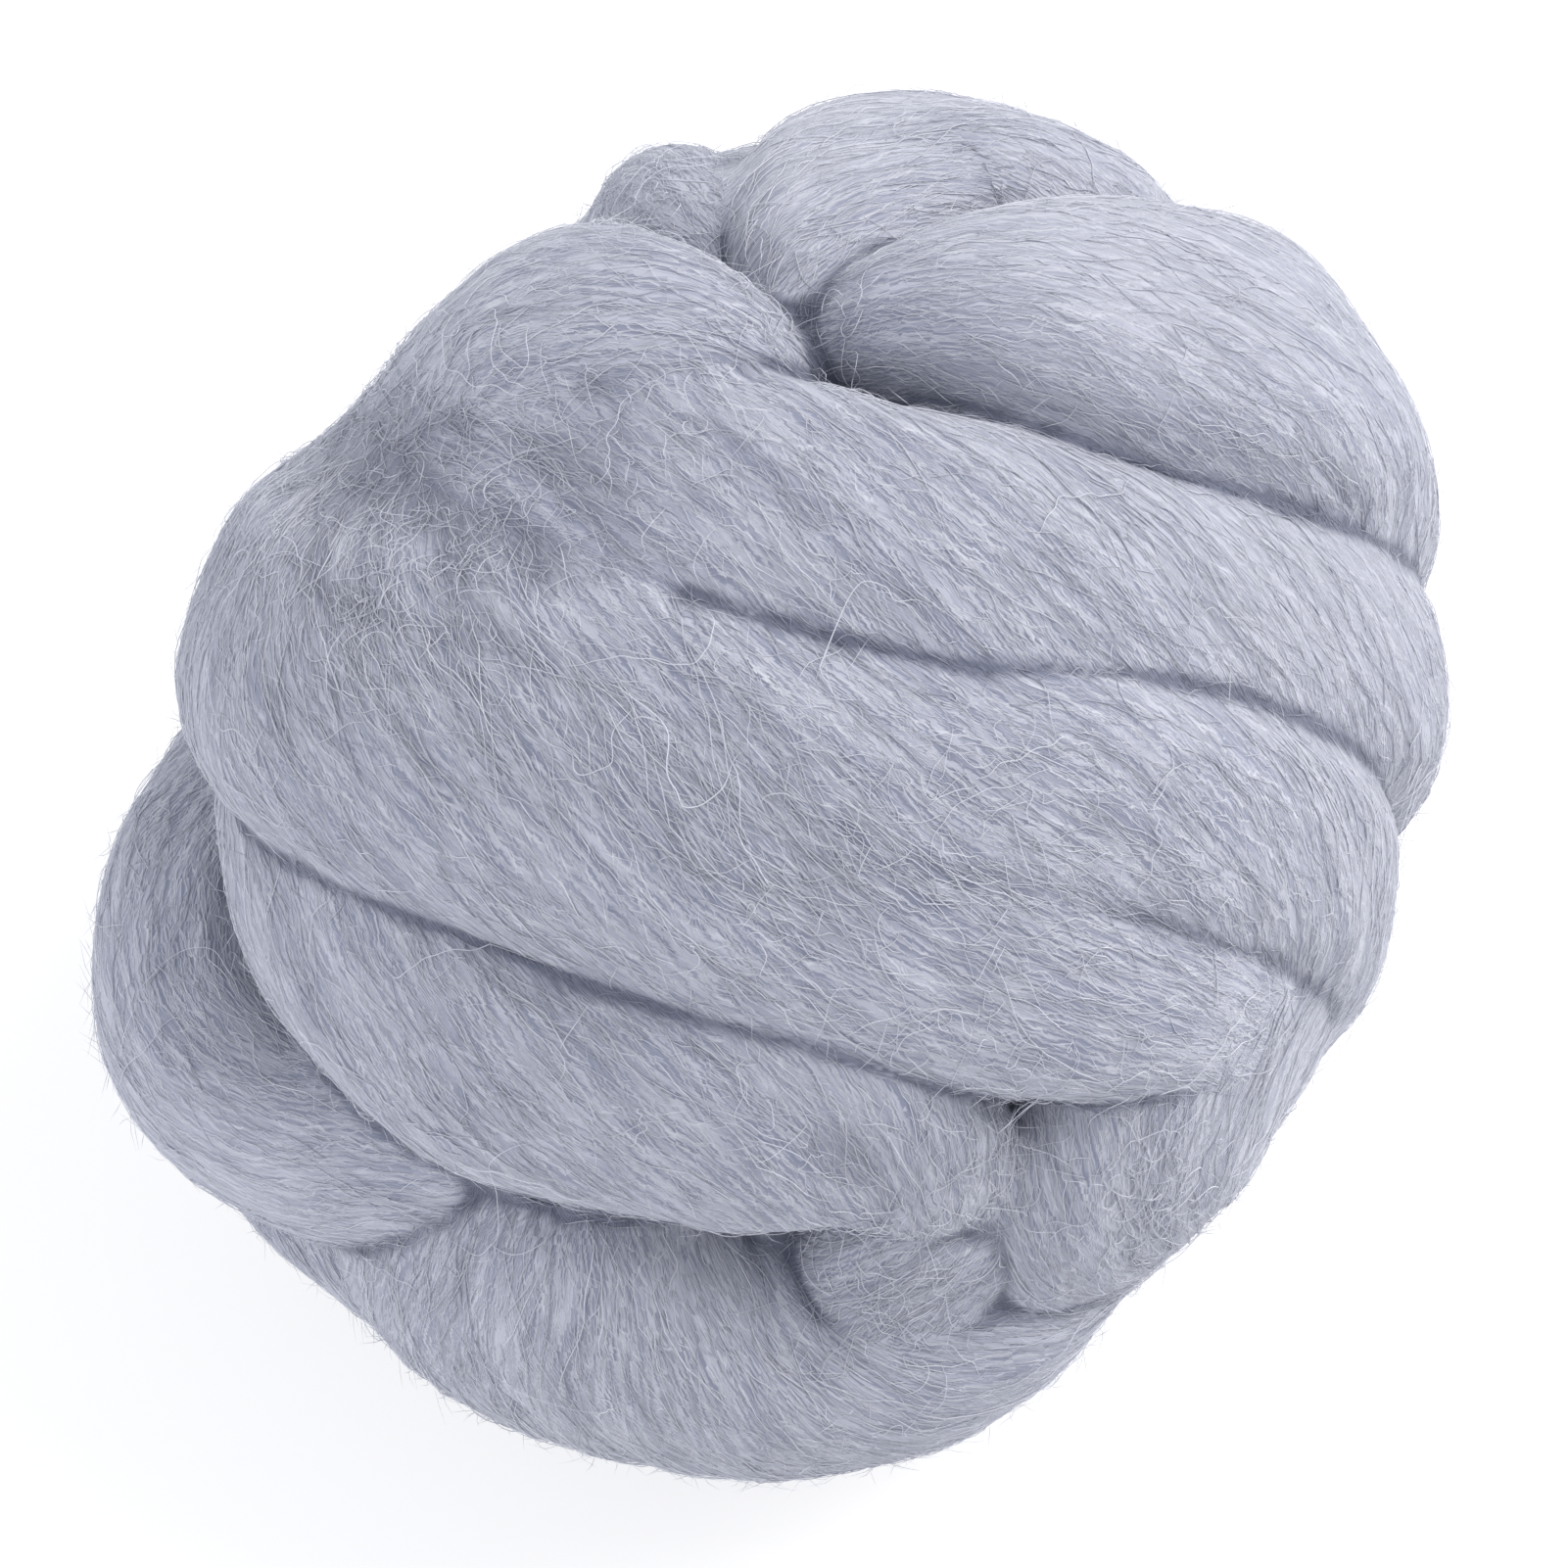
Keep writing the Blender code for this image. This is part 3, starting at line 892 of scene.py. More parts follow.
def fibre_sheet(tree, strand, turn, shift, crimp):
    """One sheet of pale fibres: a saw that rises across the strand is pushed to and fro by a
    stretched noise, and a line runs wherever it passes its middle. A line of finite length is
    left where a second noise is high."""
    place = crimped(tree, strand, turn, shift, crimp)
    parts = new_node(tree, "SeparateXYZ", {"Vector": place}).outputs
    across = combined(tree, "MULTIPLY", parts["Y"], UV_SPAN / LINE_EVERY)
    push = stretched_noise(tree, place, *LINE_DRIFT)
    saw = combined(tree, "FRACT", combined(tree, "MULTIPLY_ADD", push, LINE_PUSH, across))
    off = combined(tree, "ABSOLUTE", combined(tree, "SUBTRACT", saw, 0.5))
    line = combined(tree, "SUBTRACT", 1.0, stepped(tree, off, *LINE_EDGE))
    there = stretched_noise(tree, place, *LINE_LENGTH, detail=0.0)
    return combined(tree, "MULTIPLY", line, stepped(tree, there, *LINE_SHOWN))


# %% The skin's wool: gaps, body, lines and shade
GAP_SHEET = (0.0, 27.0, 0.25)  # lean, shift and crimp of the gaps, as for a sheet of lines
GAP_SIZE = (8.0, 0.27)  # length and width in mm of the dark gaps between fibres
GAP_LEVELS = (0.47, 0.78)  # all gap under the first level of the noise, all wool over the last
PATCH_SIZE = (48.0, 3.2)  # of locks that are a little paler or darker
PATCH_STRENGTH = 0.28
LINE_STRENGTH = 0.60
CREASE_SHADE = (0.35, 2.1, 0.92)  # mm of depth at which the painted shade starts and is full, and its most
BUMP_HEIGHT = 0.08  # mm from a gap up to the body
LINE_BUMP = 0.7  # how high a line stands over them, as a share of that


def skin_wool():
    """Gaps or body by the level of a noise, with the pale lines over them. They are evened out
    where the wool is combed smooth, and painted darker with the depth of a crease, as shade."""
    look, tree, surface = new_material("wool_skin", WOOL_SURFACE)
    uv = new_node(tree, "UVMap", {}, uv_map="strand").outputs["UV"]
    lines = fibre_sheet(tree, uv, *SHEETS[0])
    for sheet in SHEETS[1:]:
        lines = combined(tree, "MAXIMUM", lines, fibre_sheet(tree, uv, *sheet))
    level = stretched_noise(tree, crimped(tree, uv, *GAP_SHEET), *GAP_SIZE)
    patch = stretched_noise(tree, uv, *PATCH_SIZE)
    full = stepped(tree, combined(tree, "MULTIPLY_ADD", patch, PATCH_STRENGTH, level), *GAP_LEVELS)
    mass = mixed_colour(tree, full, WOOL_GAP, WOOL_BODY)
    shown = combined(tree, "MULTIPLY", lines, LINE_STRENGTH)
    fibres = mixed_colour(tree, shown, mass, WOOL_FIBRE)
    share = combined(tree, "MULTIPLY", attribute(tree, "combed"), EVENNESS)
    fibres = mixed_colour(tree, share, fibres, WOOL_EVEN)
    # painted shade: the colour darkens with the crease and pit depth that each point holds
    depth = stepped(tree, attribute(tree, "hollow"), *CREASE_SHADE)
    feed(tree, surface.inputs["Base Color"], mixed_colour(tree, depth, fibres, WOOL_PAINTED_SHADE))
    height = combined(tree, "MULTIPLY_ADD", lines, LINE_BUMP, full)
    bump = new_node(tree, "Bump", {"Distance": BUMP_HEIGHT * MM, "Strength": 1.0, "Height": height})
    feed(tree, surface.inputs["Normal"], bump.outputs["Normal"])
    return look


# %% The skin as an object
def add_values(piece, name, values):
    """Give every point of a mesh one number that a material can read by its name."""
    held = piece.data.attributes.new(name, "FLOAT", "POINT")
    held.data.foreach_set("value", values.astype(np.float32))


def dress(piece, look):
    """Give a piece its material, hang it on the root body and hide the solid that it stands for."""
    piece.data.materials.append(look)
    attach(piece, "root")
    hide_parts("wool_roving")
    corners, faces = len(piece.data.loops), len(piece.data.polygons)
    print(piece.name, corners - 2 * faces, "triangles")


def strand_uv(points, quads, normals, course_way, lean, along, lay):
    """A corner's place is that of its quad's first point plus the step from that point, measured
    along the strand and round it, so no quad straddles two strands. A step along the strand
    moves the lay back by the tangent of the lean."""
    first = quads[:, 0]
    step = (points[quads] - points[first][:, None]) / MM
    crosswise = np.cross(course_way[first], normals[first])
    ahead = (step * course_way[first][:, None]).sum(-1)
    aside = (step * crosswise[:, None]).sum(-1)
    u = along[first][:, None] + ahead
    v = lay[first][:, None] + aside - ahead * np.tan(lean[first])[:, None]
    return np.stack([u, v], axis=-1) / UV_SPAN


skin_way = turned(along_turns(skin_turn, skin_along, "along"))
skin_way = unit(skin_way - skin_normals * (skin_way * skin_normals).sum(1, keepdims=True))
skin_lean = along_turns(skin_turn, skin_along, "lean")
skin_grain = (
    skin_way * np.cos(skin_lean)[:, None]
    + np.cross(skin_way, skin_normals) * np.sin(skin_lean)[:, None]
)
skin = mesh_object("wool_skin", skin_points, skin_quads.ravel(), [4] * len(skin_quads))
uv = strand_uv(skin_points, skin_quads, skin_normals, skin_way, skin_lean, skin_along, skin_lay)
skin.data.uv_layers.new(name="strand").data.foreach_set("uv", uv.astype(np.float32).ravel())
# painted shade: crease depth plus part of the pit depth, which darkens the skin's colour
add_values(skin, "hollow", skin_hollow + PAINTED_PIT_SHADE_SKIN * skin_pits_and_shade)
add_values(skin, "combed", near_places(skin_points, COMBED))
dress(skin, skin_wool())

# %% [markdown]
# ## Combed fibres
#
# Up close, roving is nothing but fibres, and they catch the light one by one. Each is a long thin
# tube, thicker than a real wool fibre because it stands for a small lock of them. A fibre is a
# path over its own strand: it keeps nearly the same place round the strand, drifts and waves a
# little, and dives into the wool at both ends. The paths are worked out in strand coordinates and
# looked up in a grid of the strand's surface that has been laid onto the skin.

# %% Lay each turn's surface onto the skin
LAY_STEP = 1.0
LAY_SIDES = 72
DEEPEST_SHOWN = 1.9  # a strand's surface further than this from the skin is hidden, in mm
DENT_SHOWN = 1.5  # how much further it may be where a crease fades or the wool dips in
NORMAL_SHARES = (0.7, 0.3)  # of the laid grid's own normal and of the way out of the strand
ROW_LIMITS = (0.5, 1.6)  # mm between two rows of the laid grid
COLUMN_LIMITS = (0.4, 2.5)
TINY = 1e-12  # keeps a direction that has no length from being divided by 0


def laid_on(points, onto):
    """Each point moved to the nearest place on the skin, by Blender's Shrinkwrap."""
    helper = mesh_object("helper", points, np.empty(0, int), np.empty(0, int))
    wrap = helper.modifiers.new("wrap", "SHRINKWRAP")
    wrap.target = onto
    wrap.wrap_method = "NEAREST_SURFACEPOINT"
    shaped(helper)
    laid = read_points(helper.data)
    bpy.data.objects.remove(helper)
    return laid


def lay_turns(onto):
    """For each turn: its grid on the skin, which of its points show, and its outward normals."""
    around = np.linspace(-math.pi, math.pi, LAY_SIDES, endpoint=False)
    lines = [turn_course(name, LAY_STEP) for name in TURNS]
    grids = [rest_on_table(to_table(turn_surface(line, around))) for line in lines]
    flat = np.vstack([grid.reshape(-1, 3) for grid in grids])
    laid = laid_on(flat, onto)
    depth = np.linalg.norm(laid - flat, axis=1) / MM
    fields, start = [], 0
    for line, grid in zip(lines, grids):
        size = grid.shape[0] * grid.shape[1]
        here = laid[start : start + size].reshape(grid.shape)
        along = np.gradient(here, axis=0)
        across = (np.roll(here, -1, axis=1) - np.roll(here, 1, axis=1)) / 2
        outward = np.cross(along, across)
        radial = grid - to_table(line["middle"])[:, None]
        outward *= np.sign((outward * radial).sum(-1, keepdims=True))
        outward = unit(outward + TINY) * NORMAL_SHARES[0] + unit(radial) * NORMAL_SHARES[1]
        cell = np.linalg.norm(np.cross(along, across), axis=-1) / MM**2
        dent = near_places(here.reshape(-1, 3), FADES + PITS_AND_SHADE)
        shown = depth[start : start + size] < DEEPEST_SHOWN + DENT_SHOWN * dent
        shown = shown.reshape(grid.shape[:2])
        fields.append({
            "laid": here,
            "normal": unit(outward),
            "cell": cell * shown,
            "shown": shown,
            "row_mm": (np.linalg.norm(along, axis=-1) / MM).clip(*ROW_LIMITS),
            "column_mm": (np.linalg.norm(across, axis=-1) / MM).clip(*COLUMN_LIMITS),
            "lay": line["lay"],
        })
        start += size
    return fields


fields = lay_turns(skin)
open_area = np.array([field["cell"].sum() for field in fields])
print("open area of each turn, cm2:", dict(zip(TURNS, (open_area / 100).round(1))))


# %% Look up a path in a turn's grid
def looked_up(grid, row, column):
    """A grid's value between its points: rows are stations, columns go round and close."""
    row = np.clip(row, 0, len(grid) - 1.001)  # just short of the last row, so a next one exists
    r, c = np.floor(row).astype(int), np.floor(column).astype(int)
    spare = (1,) * (grid.ndim - 2)
    fr, fc = (row - r).reshape(row.shape + spare), (column - c).reshape(column.shape + spare)
    c0, c1 = c % grid.shape[1], (c + 1) % grid.shape[1]
    near = grid[r, c0] * (1 - fc) + grid[r, c1] * fc
    far = grid[r + 1, c0] * (1 - fc) + grid[r + 1, c1] * fc
    return near * (1 - fr) + far * fr


# %% Paths of single fibres
LONG = {
    "length": (11.0, 25.0),  # in mm
    "lean": 0.16,  # the spread of the fibres' slope to the lay
    "lock_lean": 0.25,  # the part of it that a lock shares
    # each wave: least and most height, shortest and longest length, in mm
    "waves": ((0.10, 0.70, 12, 30), (0.10, 0.40, 5.0, 9.0), (0.06, 0.17, 2.6, 4.4)),
}
CURLED = {
    "length": (4.0, 11.0),
    "lean": 0.30,
    "lock_lean": 0.4,
    "waves": ((0.15, 0.60, 7, 14), (0.10, 0.32, 2.6, 4.8), (0.02, 0.07, 1.4, 2.2)),
}
SHORTEST_RUN = 3.0  # mm of fibre that must show
PROBES = 41  # places along a fibre that are tested
LOCK_SIZE = (14, 5)  # length and width in mm of the locks that share a lean
LOCK_SEED = 71


def fibre_paths(field, count, rng, segments, habit):
    """Paths of fibres over one turn: points and normals, as arrays of fibre, point, (x, y, z).

    The way round is start + lay + lean * length + the waves, each a sine wave of its own height
    and length. A fibre shares part of its lean with those near it, as in a lock. The part of the
    path that shows without a break round its middle is kept, with its points evenly spread."""
    weights = field["cell"].ravel() / field["cell"].sum()
    seeds = rng.choice(len(weights), count, p=weights)
    row0 = seeds // LAY_SIDES + rng.uniform(-0.5, 0.5, count)
    column0 = seeds % LAY_SIDES + rng.uniform(-0.5, 0.5, count)
    row_mm = looked_up(field["row_mm"], row0, column0)
    column_mm = looked_up(field["column_mm"], row0, column0)
    half = rng.uniform(*habit["length"], count) / 2 / row_mm
    lock = soft_noise(np.stack([row0, column0 * column_mm], -1) / LOCK_SIZE, LOCK_SEED)
    lean = (rng.normal(0, habit["lean"], count) + habit["lock_lean"] * lock)[:, None]
    waves = [
        (
            rng.uniform(least, most, count)[:, None],
            2 * math.pi / rng.uniform(shortest, longest, count)[:, None],
            rng.uniform(0, 2 * math.pi, count)[:, None],
        )
        for least, most, shortest, longest in habit["waves"]
    ]
    rows = np.arange(len(field["lay"]))
    lay0 = np.interp(row0, rows, field["lay"])[:, None]
    row_mm, column_mm = row_mm[:, None], column_mm[:, None]

    def place(shift):
        """Row and column of the points that lie `shift` stations from each fibre's middle."""
        row = row0[:, None] + shift
        ahead = shift * row_mm
        aside = (np.interp(row, rows, field["lay"]) - lay0) * row_mm + lean * ahead
        for size, pace, phase in waves:
            aside = aside + size * (np.sin(pace * ahead + phase) - np.sin(phase))
        return row, column0[:, None] + aside / column_mm

    probe = np.linspace(-1, 1, PROBES)[None] * half[:, None]
    row, column = place(probe)
    seen = looked_up(field["shown"].astype(float), row, column) > 0.5
    seen &= (row > 0) & (row < len(field["laid"]) - 1)
    middle = PROBES // 2
    after = np.cumprod(seen[:, middle:], axis=1).sum(1)
    before = np.cumprod(seen[:, middle::-1], axis=1).sum(1)
    reach = half / middle
    low, high = -(before - 1) * reach, (after - 1) * reach
    kept = ((high - low) * row_mm[:, 0] > SHORTEST_RUN) & (after > 0)
    share = np.linspace(0, 1, segments + 1)[None]
    row, column = place(low[:, None] + (high - low)[:, None] * share)
    points = looked_up(field["laid"], row, column)
    normals = unit(looked_up(field["normal"], row, column))
    return points[kept], normals[kept]


# %% Painted shade in the creases
SHADE_BOX = 1.5  # side in mm of the boxes that space is divided into
BOXES = 256  # along each axis
BOX_MARGIN = 20.0  # mm of space round the skin
PAINTED_PIT_SHADE_FIBRES = 0.35  # how much of a pit's depth is painted as shade on the fibres over it


def box_of(points):
    """The number of the box of space that each point lies in."""
    low = skin_points.min(0) / MM - BOX_MARGIN
    spot = ((points.reshape(-1, 3) / MM - low) / SHADE_BOX).astype(int).clip(0, BOXES - 1)
    return spot @ (BOXES**2, BOXES, 1)


skin_box = box_of(skin_points)


def box_sums(values):
    """The sum of the skin points' values in every box of space."""
    return np.bincount(skin_box, values, BOXES**3)


shade_sum = box_sums(skin_hollow + PAINTED_PIT_SHADE_FIBRES * skin_pits_and_shade)
shade_count = box_sums(np.ones(len(skin_points)))
print("boxes of space with skin in them:", (shade_count > 0).sum())


def hollow_near(points):
    """The mean crease depth of the skin in each point's box of space, 0 where there is none."""
    box = box_of(points)
    return (shade_sum[box] / np.maximum(shade_count[box], 1)).reshape(points.shape[:-1])


# %% Fibres as closed three-sided tubes
FULL_PAINTED_SHADE_AT = 1.9  # mm of crease depth at which a fibre's painted shade is full
TONE_EVEN = 0.58  # the tone of a fibre that is like all those round it
TAPER_POWER = 6  # the higher it is, the nearer to its ends a fibre starts to narrow
CORNER_ANGLES = np.array([90.0, 210.0, 330.0]) * math.pi / 180


def fibre_mesh(name, paths, normals, radii, tones):
    """Each path becomes a three-sided tube that narrows to a point at both ends.

    A ring's corners are path + radius * (up * sin + side * cos) at three angles, and the radius
    follows 1 - (2 t - 1)^6 along the fibre."""
    count, stations = paths.shape[:2]
    along = unit(np.gradient(paths, axis=1) + TINY)
    side = unit(np.cross(along, normals))
    up = np.cross(side, along)
    t = np.linspace(0, 1, stations)
    radius = radii[:, None] * (1 - (2 * t - 1) ** TAPER_POWER)[None]
    rise, aside = np.sin(CORNER_ANGLES)[:, None], np.cos(CORNER_ANGLES)[:, None]
    spoke = up[:, 1:-1, None] * rise + side[:, 1:-1, None] * aside
    rings = paths[:, 1:-1, None] + radius[:, 1:-1, None, None] * spoke
    inner = stations - 2
    each = inner * 3 + 2
    points = np.concatenate([rings.reshape(count, -1, 3), paths[:, [0, -1]]], axis=1)
    ring, corner = np.meshgrid(np.arange(inner - 1), np.arange(3), indexing="ij")
    here, there = ring * 3 + corner, ring * 3 + (corner + 1) % 3
    quads = np.stack([here, there, there + 3, here + 3], axis=-1).reshape(-1, 4)
    corner = np.arange(3)
    first = np.stack([(corner + 1) % 3, corner, np.full(3, inner * 3)], axis=-1)
    base = (inner - 1) * 3
    last = np.stack([base + corner, base + (corner + 1) % 3, np.full(3, inner * 3 + 1)], axis=-1)
    one = np.concatenate([quads.ravel(), first.ravel(), last.ravel()])
    loops = (one[None] + (np.arange(count) * each)[:, None]).ravel()
    sizes = np.tile([4] * len(quads) + [3] * 6, count)
    made = mesh_object(name, points.reshape(-1, 3), loops, sizes)
    # painted shade: a fibre's tone darkens with the crease depth of the skin round it
    shade = (hollow_near(points) / FULL_PAINTED_SHADE_AT).clip(0, 1)
    tone = tones[:, None] * (1 - shade)
    combed = near_places(points.reshape(-1, 3), COMBED).reshape(tone.shape)
    tone = tone + EVENNESS * combed * (TONE_EVEN - tone) * (1 - shade)
    add_values(made, "tone", tone.ravel())
    return made


def fibre_wool(name, dark, pale):
    """Wool whose colour is mixed from dark to pale by each fibre's own tone, darkened by painted
    shade in creases.
    """
    look, tree, surface = new_material(name, WOOL_SURFACE)
    colour = mixed_colour(tree, attribute(tree, "tone"), dark, pale)
    feed(tree, surface.inputs["Base Color"], colour)
    return look


# %% Comb the fibres over every turn
LAYERS = (  # name, habit, number of fibres
    ("long_fibres_1", LONG, 2000),
    ("long_fibres_2", LONG, 2000),
    ("curled_fibres_1", CURLED, 1900),
    ("curled_fibres_2", CURLED, 1900),
)
COMB_SEED = 100
FIBRE_SEGMENTS = 12
FIBRE_RADIUS = (0.032, 0.064)  # in mm
FIBRE_LIFT = (0.0, 0.28)  # how high a fibre's middle stands over the skin, in mm
DIVE = 0.30  # how deep its ends go
ARCH_POWER = 0.4  # the lower it is, the nearer to its ends a fibre comes up
LIFT_WAVE = 0.12  # how far it waves up and down on the way
LIFT_PACE = (6, 16)  # radians of that wave from end to end
LIFT_PHASE = (0, 6.3)  # a whole turn, in radians
TONE_SHAPE = (4.0, 2.0)  # of the beta distribution of tones: mostly pale, a few dark

combed_wool = fibre_wool("wool_fibres", WOOL_GAP, WOOL_PALE)
share_of_turn = open_area / open_area.sum()


def combed_over(number, rng, segments, habit):
    """Fibre paths over the whole ball, with the share of each turn set by its open area."""
    wanted = np.ceil(share_of_turn * number).astype(int)
    made = [fibre_paths(field, count, rng, segments, habit) for field, count in zip(fields, wanted)]
    paths, normals = zip(*made)
    return np.concatenate(paths), np.concatenate(normals)


def lifted(paths, normals, rng, lift):
    """Fibres raised off the skin and dipped into it at both ends. The height at t along a fibre is
    (top + dive) * sin(pi * t)^0.4 - dive, plus a small sine wave."""
    count, stations = paths.shape[:2]
    t = np.linspace(0, 1, stations)
    top = rng.uniform(*lift, count)[:, None]
    height = (top + DIVE) * np.sin(math.pi * t) ** ARCH_POWER - DIVE
    pace = rng.uniform(*LIFT_PACE, count)[:, None]
    phase = rng.uniform(*LIFT_PHASE, count)[:, None]
    height = height + LIFT_WAVE * np.sin(pace * t + phase)
    return rest_on_table(paths + normals * height[..., None] * MM)


for number, (name, habit, count) in enumerate(LAYERS):
    rng = np.random.default_rng(COMB_SEED + number)
    paths, normals = combed_over(count, rng, FIBRE_SEGMENTS, habit)
    paths = lifted(paths, normals, rng, FIBRE_LIFT)
    radii = rng.uniform(*FIBRE_RADIUS, len(paths)) * MM
    tones = rng.beta(*TONE_SHAPE, len(paths))
    dress(fibre_mesh(name, paths, normals, radii, tones), combed_wool)

# %% [markdown]
# ## Stray fibres and the soft edge
#
# The last layer of roving is air and loose fibres. Some long pale ones lie across all the others in
# loose curls. Where the wool has been handled, short curly ones mat together. Far more stand off
# the surface a little, and together they blur the ball's outline. Each is a walk: a direction that
# turns a little at random from step to step and is pulled back towards the wool.

# %% The kinds of loose fibre
MATTED = (  # where the fibres are tangled: right, up, radius, strength
    (-32, 27, 24, 1.0),
    (-12, 30, 13, 0.5),
    (20, -32, 12, 0.9),
    (36, -38, 11, 0.8),
    (12, -47, 13, 1.0),
    (-14, 57, 9, 0.8),
    (1, 45, 11, 0.7),
    (16, -12, 30, 0.3),
)
# rise is that of the first step; turn and pull are for each step; comb is how much a fibre keeps to
# the lay; tone is the darkest; length and radius are in mm.
LOOSE = (
    dict(
        name="stray_fibres", places=None, count=230, steps=42, length=(9, 27),
        radius=(0.036, 0.062), rise=(0, 0.15), turn=0.13, pull=0.03, comb=0.7, tone=0.85,
    ),
    dict(
        name="matted_fibres", places=MATTED, count=1350, steps=10, length=(3, 9),
        radius=(0.030, 0.055), rise=(0, 0.35), turn=0.42, pull=0.06, comb=0.5, tone=0.6,
    ),
    dict(
        name="crossing_fibres", places="creases", count=600, steps=9, length=(4, 11),
        radius=(0.030, 0.055), rise=(0, 0.35), turn=0.26, pull=0.05, comb=1.0, tone=0.6,
    ),
    dict(
        name="soft_halo", places=None, count=21500, steps=2, length=(2, 5),
        radius=(0.022, 0.034), rise=(0.03, 0.75), turn=0.20, pull=0.22, comb=1.5, tone=0.6,
    ),
)
LOOSE_SEED = 300
CREASE_WEIGHTS = (0.2, 1.5)  # least and most mm of crease depth that count in picking a place
ROOT_DEPTH = 0.1  # mm from the skin down to a fibre's first point
BEND_KEPT = 0.75  # share of a bend that lasts to the next step
LYING_STEPS = 8  # fibres with more steps than this are long enough to lie on the wool
LYING_LIFT = (0.15, 0.75)  # how high the middle of such a fibre stands, in mm
LYING_EASING = 2  # rounds of smoothing once it lies there
CRIMP_LENGTH = (2.4, 5.5)  # of its small waves, in mm
CRIMP_HEIGHT = (0.10, 0.42)


# %% Walks over the skin
def scattered_on_skin(count, places, rng):
    """The first corner of each of many random quads, picked by area and by how near the places,
    or how deep in a crease, it is."""
    weight = np.linalg.norm(quad_normals(skin_points, skin_quads), axis=1)
    first = skin_quads[:, 0]
    if places == "creases":
        weight = weight * skin_hollow[first].clip(*CREASE_WEIGHTS) ** 2
    elif places:
        weight = weight * near_places(skin_points[first], places)
    return first[rng.choice(len(weight), count, p=weight / weight.sum())]


def random_directions(count, rng):
    return unit(rng.normal(0, 1, (count, 3)))


def walked(starts, headings, lengths, steps, turn, pull, rng):
    """Paths that start at a point and bend at random on the way, all at once. The bend lasts for
    a few steps, so a path curls instead of shaking."""
    step = (lengths / steps)[:, None]
    bend = random_directions(len(starts), rng)
    paths = [starts]
    for _ in range(steps):
        bend = BEND_KEPT * bend + random_directions(len(starts), rng)
        headings = unit(headings + turn * bend + pull)
        paths.append(paths[-1] + headings * step)
    return np.stack(paths, axis=1)


def nearest_normals(points):
    """The skin's mean normal in the box of space round each point, else the point's way out."""
    box = box_of(points)
    summed = np.stack([box_sums(column)[box] for column in skin_normals.T], -1)
    summed = summed.reshape(points.shape)
    known = np.abs(summed).sum(-1, keepdims=True) > 0
    return unit(np.where(known, summed, points - skin_points.mean(0)))


def loose_fibres(seed, name, places, count, steps, length, radius, rise, turn, pull, comb, tone):
    """Walks over the skin as closed tubes. A long one lies on the wool, so it is crimped by a sine
    wave, laid onto the skin and raised again; a short one stands off it."""
    rng = np.random.default_rng(seed)
    roots = scattered_on_skin(count, places, rng)
    out = skin_normals[roots]
    way = comb * skin_grain[roots] * rng.choice([-1, 1], count)[:, None]
    way = way + random_directions(count, rng)
    way = unit(way - out * (way * out).sum(1, keepdims=True))
    headings = unit(way + out * rng.uniform(*rise, count)[:, None])
    lengths = rng.uniform(*length, count) * MM
    starts = skin_points[roots] - out * ROOT_DEPTH * MM
    paths = walked(starts, headings, lengths, steps, turn, -pull * out, rng)
    if steps > LYING_STEPS:
        side = unit(np.cross(np.gradient(paths, axis=1), out[:, None]) + TINY)
        waves = lengths / (rng.uniform(*CRIMP_LENGTH, count) * MM)
        height = rng.uniform(*CRIMP_HEIGHT, count)[:, None] * MM
        t = np.linspace(0, 2 * math.pi, steps + 1)
        paths = paths + side * (height * np.sin(waves[:, None] * t + waves[:, None]))[..., None]
        paths = laid_on(paths.reshape(-1, 3), skin).reshape(paths.shape)
        normals = nearest_normals(paths)
        paths = lifted(paths, normals, rng, LYING_LIFT)
        paths = eased(paths.swapaxes(0, 1), LYING_EASING).swapaxes(0, 1)
    else:
        normals = np.repeat(out[:, None], steps + 1, axis=1)
        paths = rest_on_table(paths)
    radii = rng.uniform(*radius, count) * MM
    return fibre_mesh(name, paths, normals, radii, rng.uniform(tone, 1.0, count))


# %% Lay the loose fibres over the ball
for number, kind in enumerate(LOOSE):
    dress(loose_fibres(LOOSE_SEED + number, **kind), combed_wool)

# %% [markdown]
# ## Floor, light and camera
#
# The ball lies on a plain white table in soft light. Most of it comes from all around, as in a
# light tent; a large soft lamp high on the right makes the upper right brighter than the lower
# left, and a weaker one low on the left keeps the shadows soft. The camera looks straight at the
# ball's face.

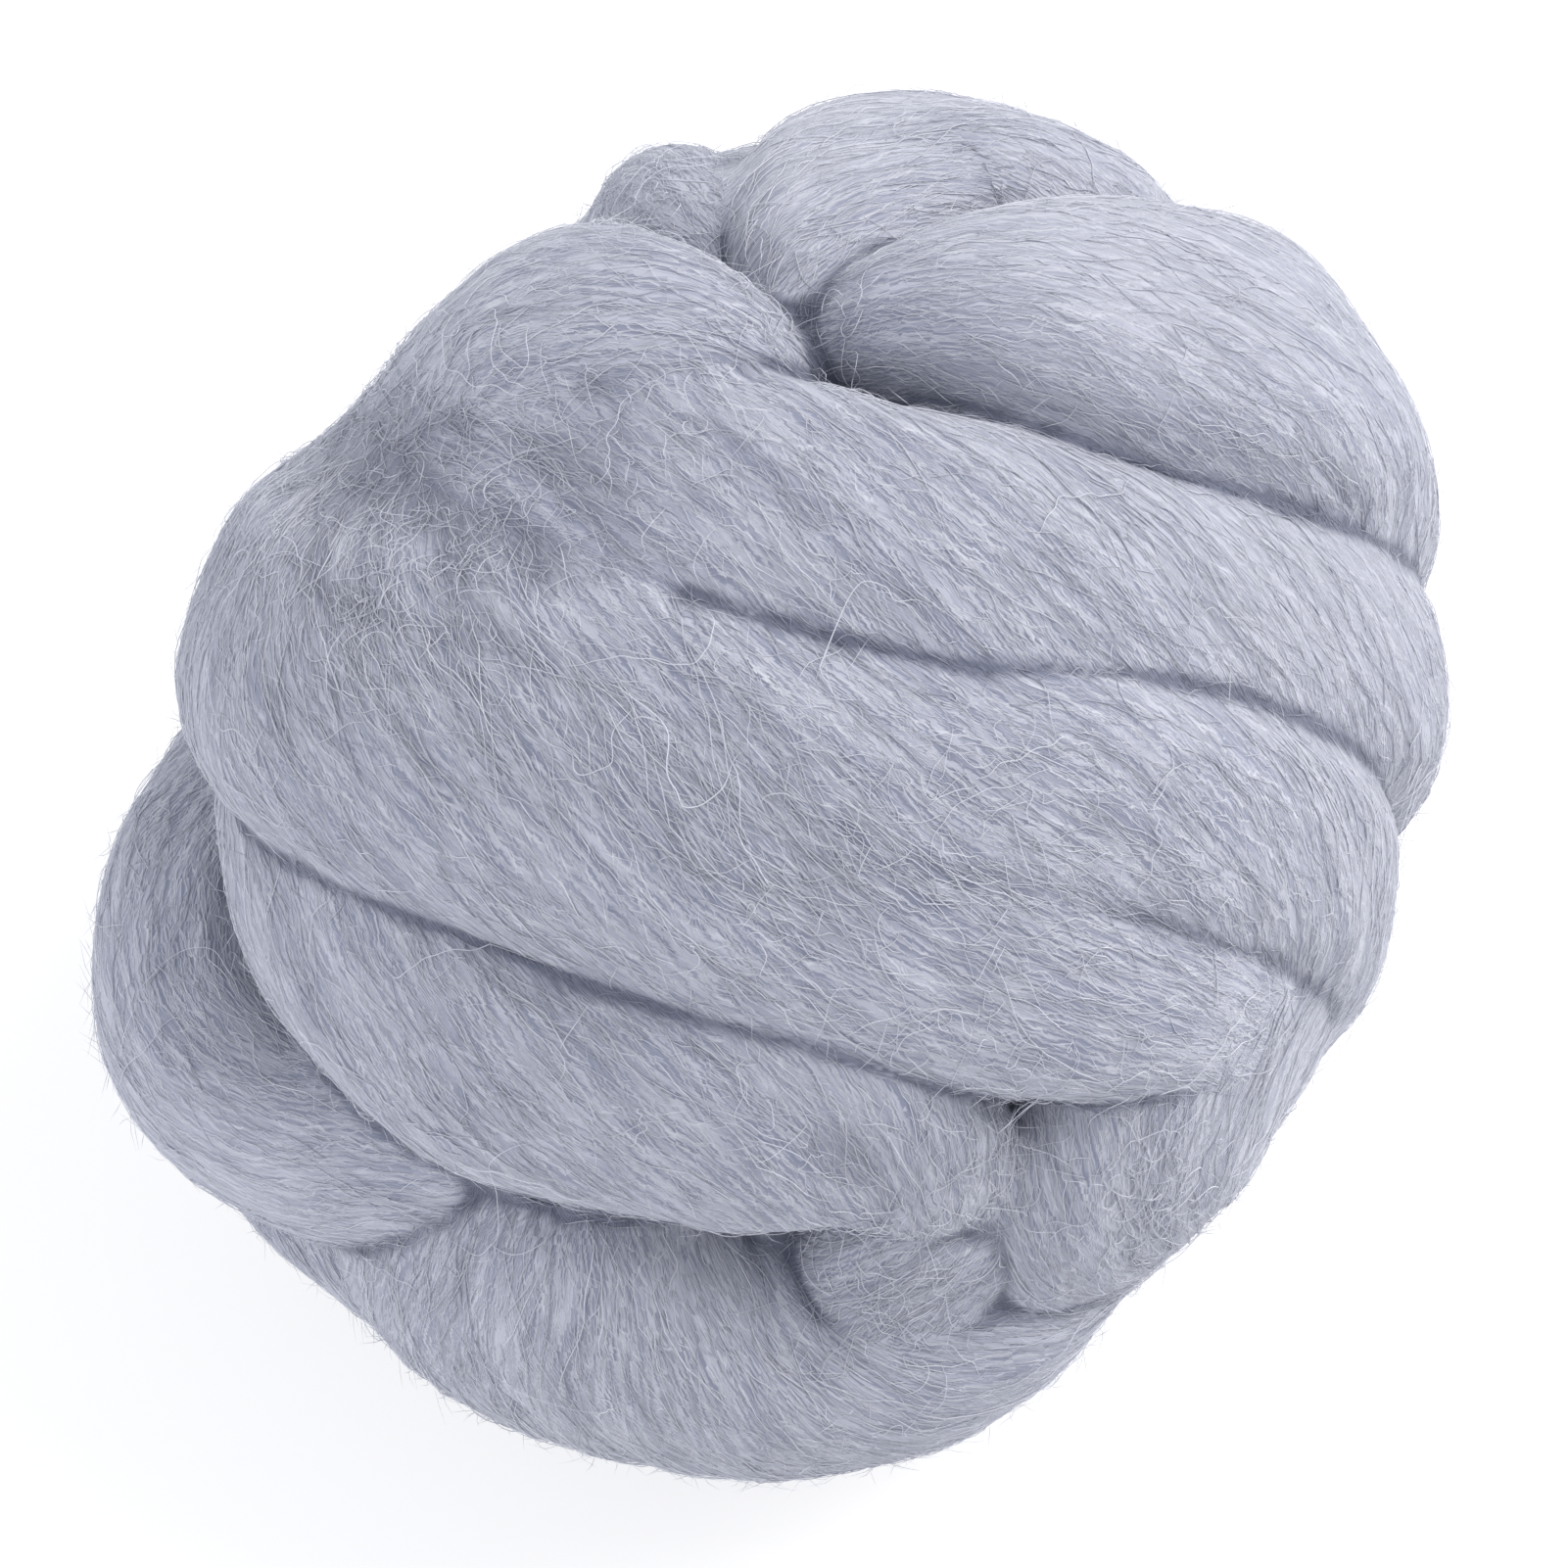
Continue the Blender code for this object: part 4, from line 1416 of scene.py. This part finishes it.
# %% The floor and the lamps
FLOOR_SIZE = 3.0
FLOOR_SURFACE = {  # matt white that also glows a little, so that shadows stay faint
    "Base Color": (0.34, 0.34, 0.35, 1.0),
    "Roughness": 0.9,
    "Specular IOR Level": 0.1,
    "Emission Color": (1.0, 1.0, 1.0, 1.0),
    "Emission Strength": 0.70,
}
TENT = {"Color": (0.945, 0.965, 1.0, 1.0), "Strength": 0.86}
LAMP_AIM = (0, 0, 0.05)
LAMPS = (  # name, place in metres, size, power, colour
    ("soft_key", (0.67, 0.13, 0.67), 0.7, 9.6, (1.0, 0.975, 0.94)),
    ("soft_fill", (-0.85, -0.40, 0.22), 0.8, 5.0, (0.98, 0.99, 1.0)),
)


def soft_lamp(name, place, size, power, colour):
    """A square area lamp at a place, turned to face the ball."""
    light = bpy.data.lights.new(name, "AREA")
    light.size = size
    light.energy = power
    light.color = colour
    lamp = bpy.data.objects.new(name, light)
    bpy.context.scene.collection.objects.link(lamp)
    lamp.location = place
    way = lamp.location.copy()
    way.xyz = [goal - start for goal, start in zip(LAMP_AIM, place)]
    lamp.rotation_euler = way.to_track_quat("-Z", "Y").to_euler()


corners = np.array([[-1, -1, 0], [1, -1, 0], [1, 1, 0], [-1, 1, 0]]) * FLOOR_SIZE / 2
floor = mesh_object("floor", corners, np.arange(4), [4])
floor.data.materials.append(new_material("white_floor", FLOOR_SURFACE)[0])

world = bpy.data.worlds.new("light_tent")
world.use_nodes = True
for socket, value in TENT.items():
    world.node_tree.nodes["Background"].inputs[socket].default_value = value
bpy.context.scene.world = world
for lamp in LAMPS:
    soft_lamp(*lamp)
print("floor", FLOOR_SIZE, "m wide and", len(LAMPS), "lamps")

# %% The camera
CAMERA_DISTANCE = 0.6
SENSOR = 36.0  # width in mm
PHOTO_PIXELS = 1601
PIXEL = 0.0955 * MM  # what a pixel of the photo covers at the ball's middle
FRAME_WIDTH = PHOTO_PIXELS * PIXEL
FRAME_CENTRE = (1.48, -0.05, 0.0)  # face frame, mm
camera_data = bpy.data.cameras.new("camera")
camera_data.sensor_width = SENSOR
camera_data.lens = SENSOR * CAMERA_DISTANCE / FRAME_WIDTH
camera_data.clip_start = 0.01
camera = bpy.data.objects.new("camera", camera_data)
bpy.context.scene.collection.objects.link(camera)
camera.location = to_table(FRAME_CENTRE) + turned((0, 0, 1)) * CAMERA_DISTANCE
camera.rotation_euler = (math.pi / 2 - FACE_LEAN, 0, 0)
bpy.context.scene.camera = camera
bpy.context.scene.view_settings.view_transform = "Standard"
print("camera", round(camera_data.lens, 1), "mm lens at", [round(c, 3) for c in camera.location])
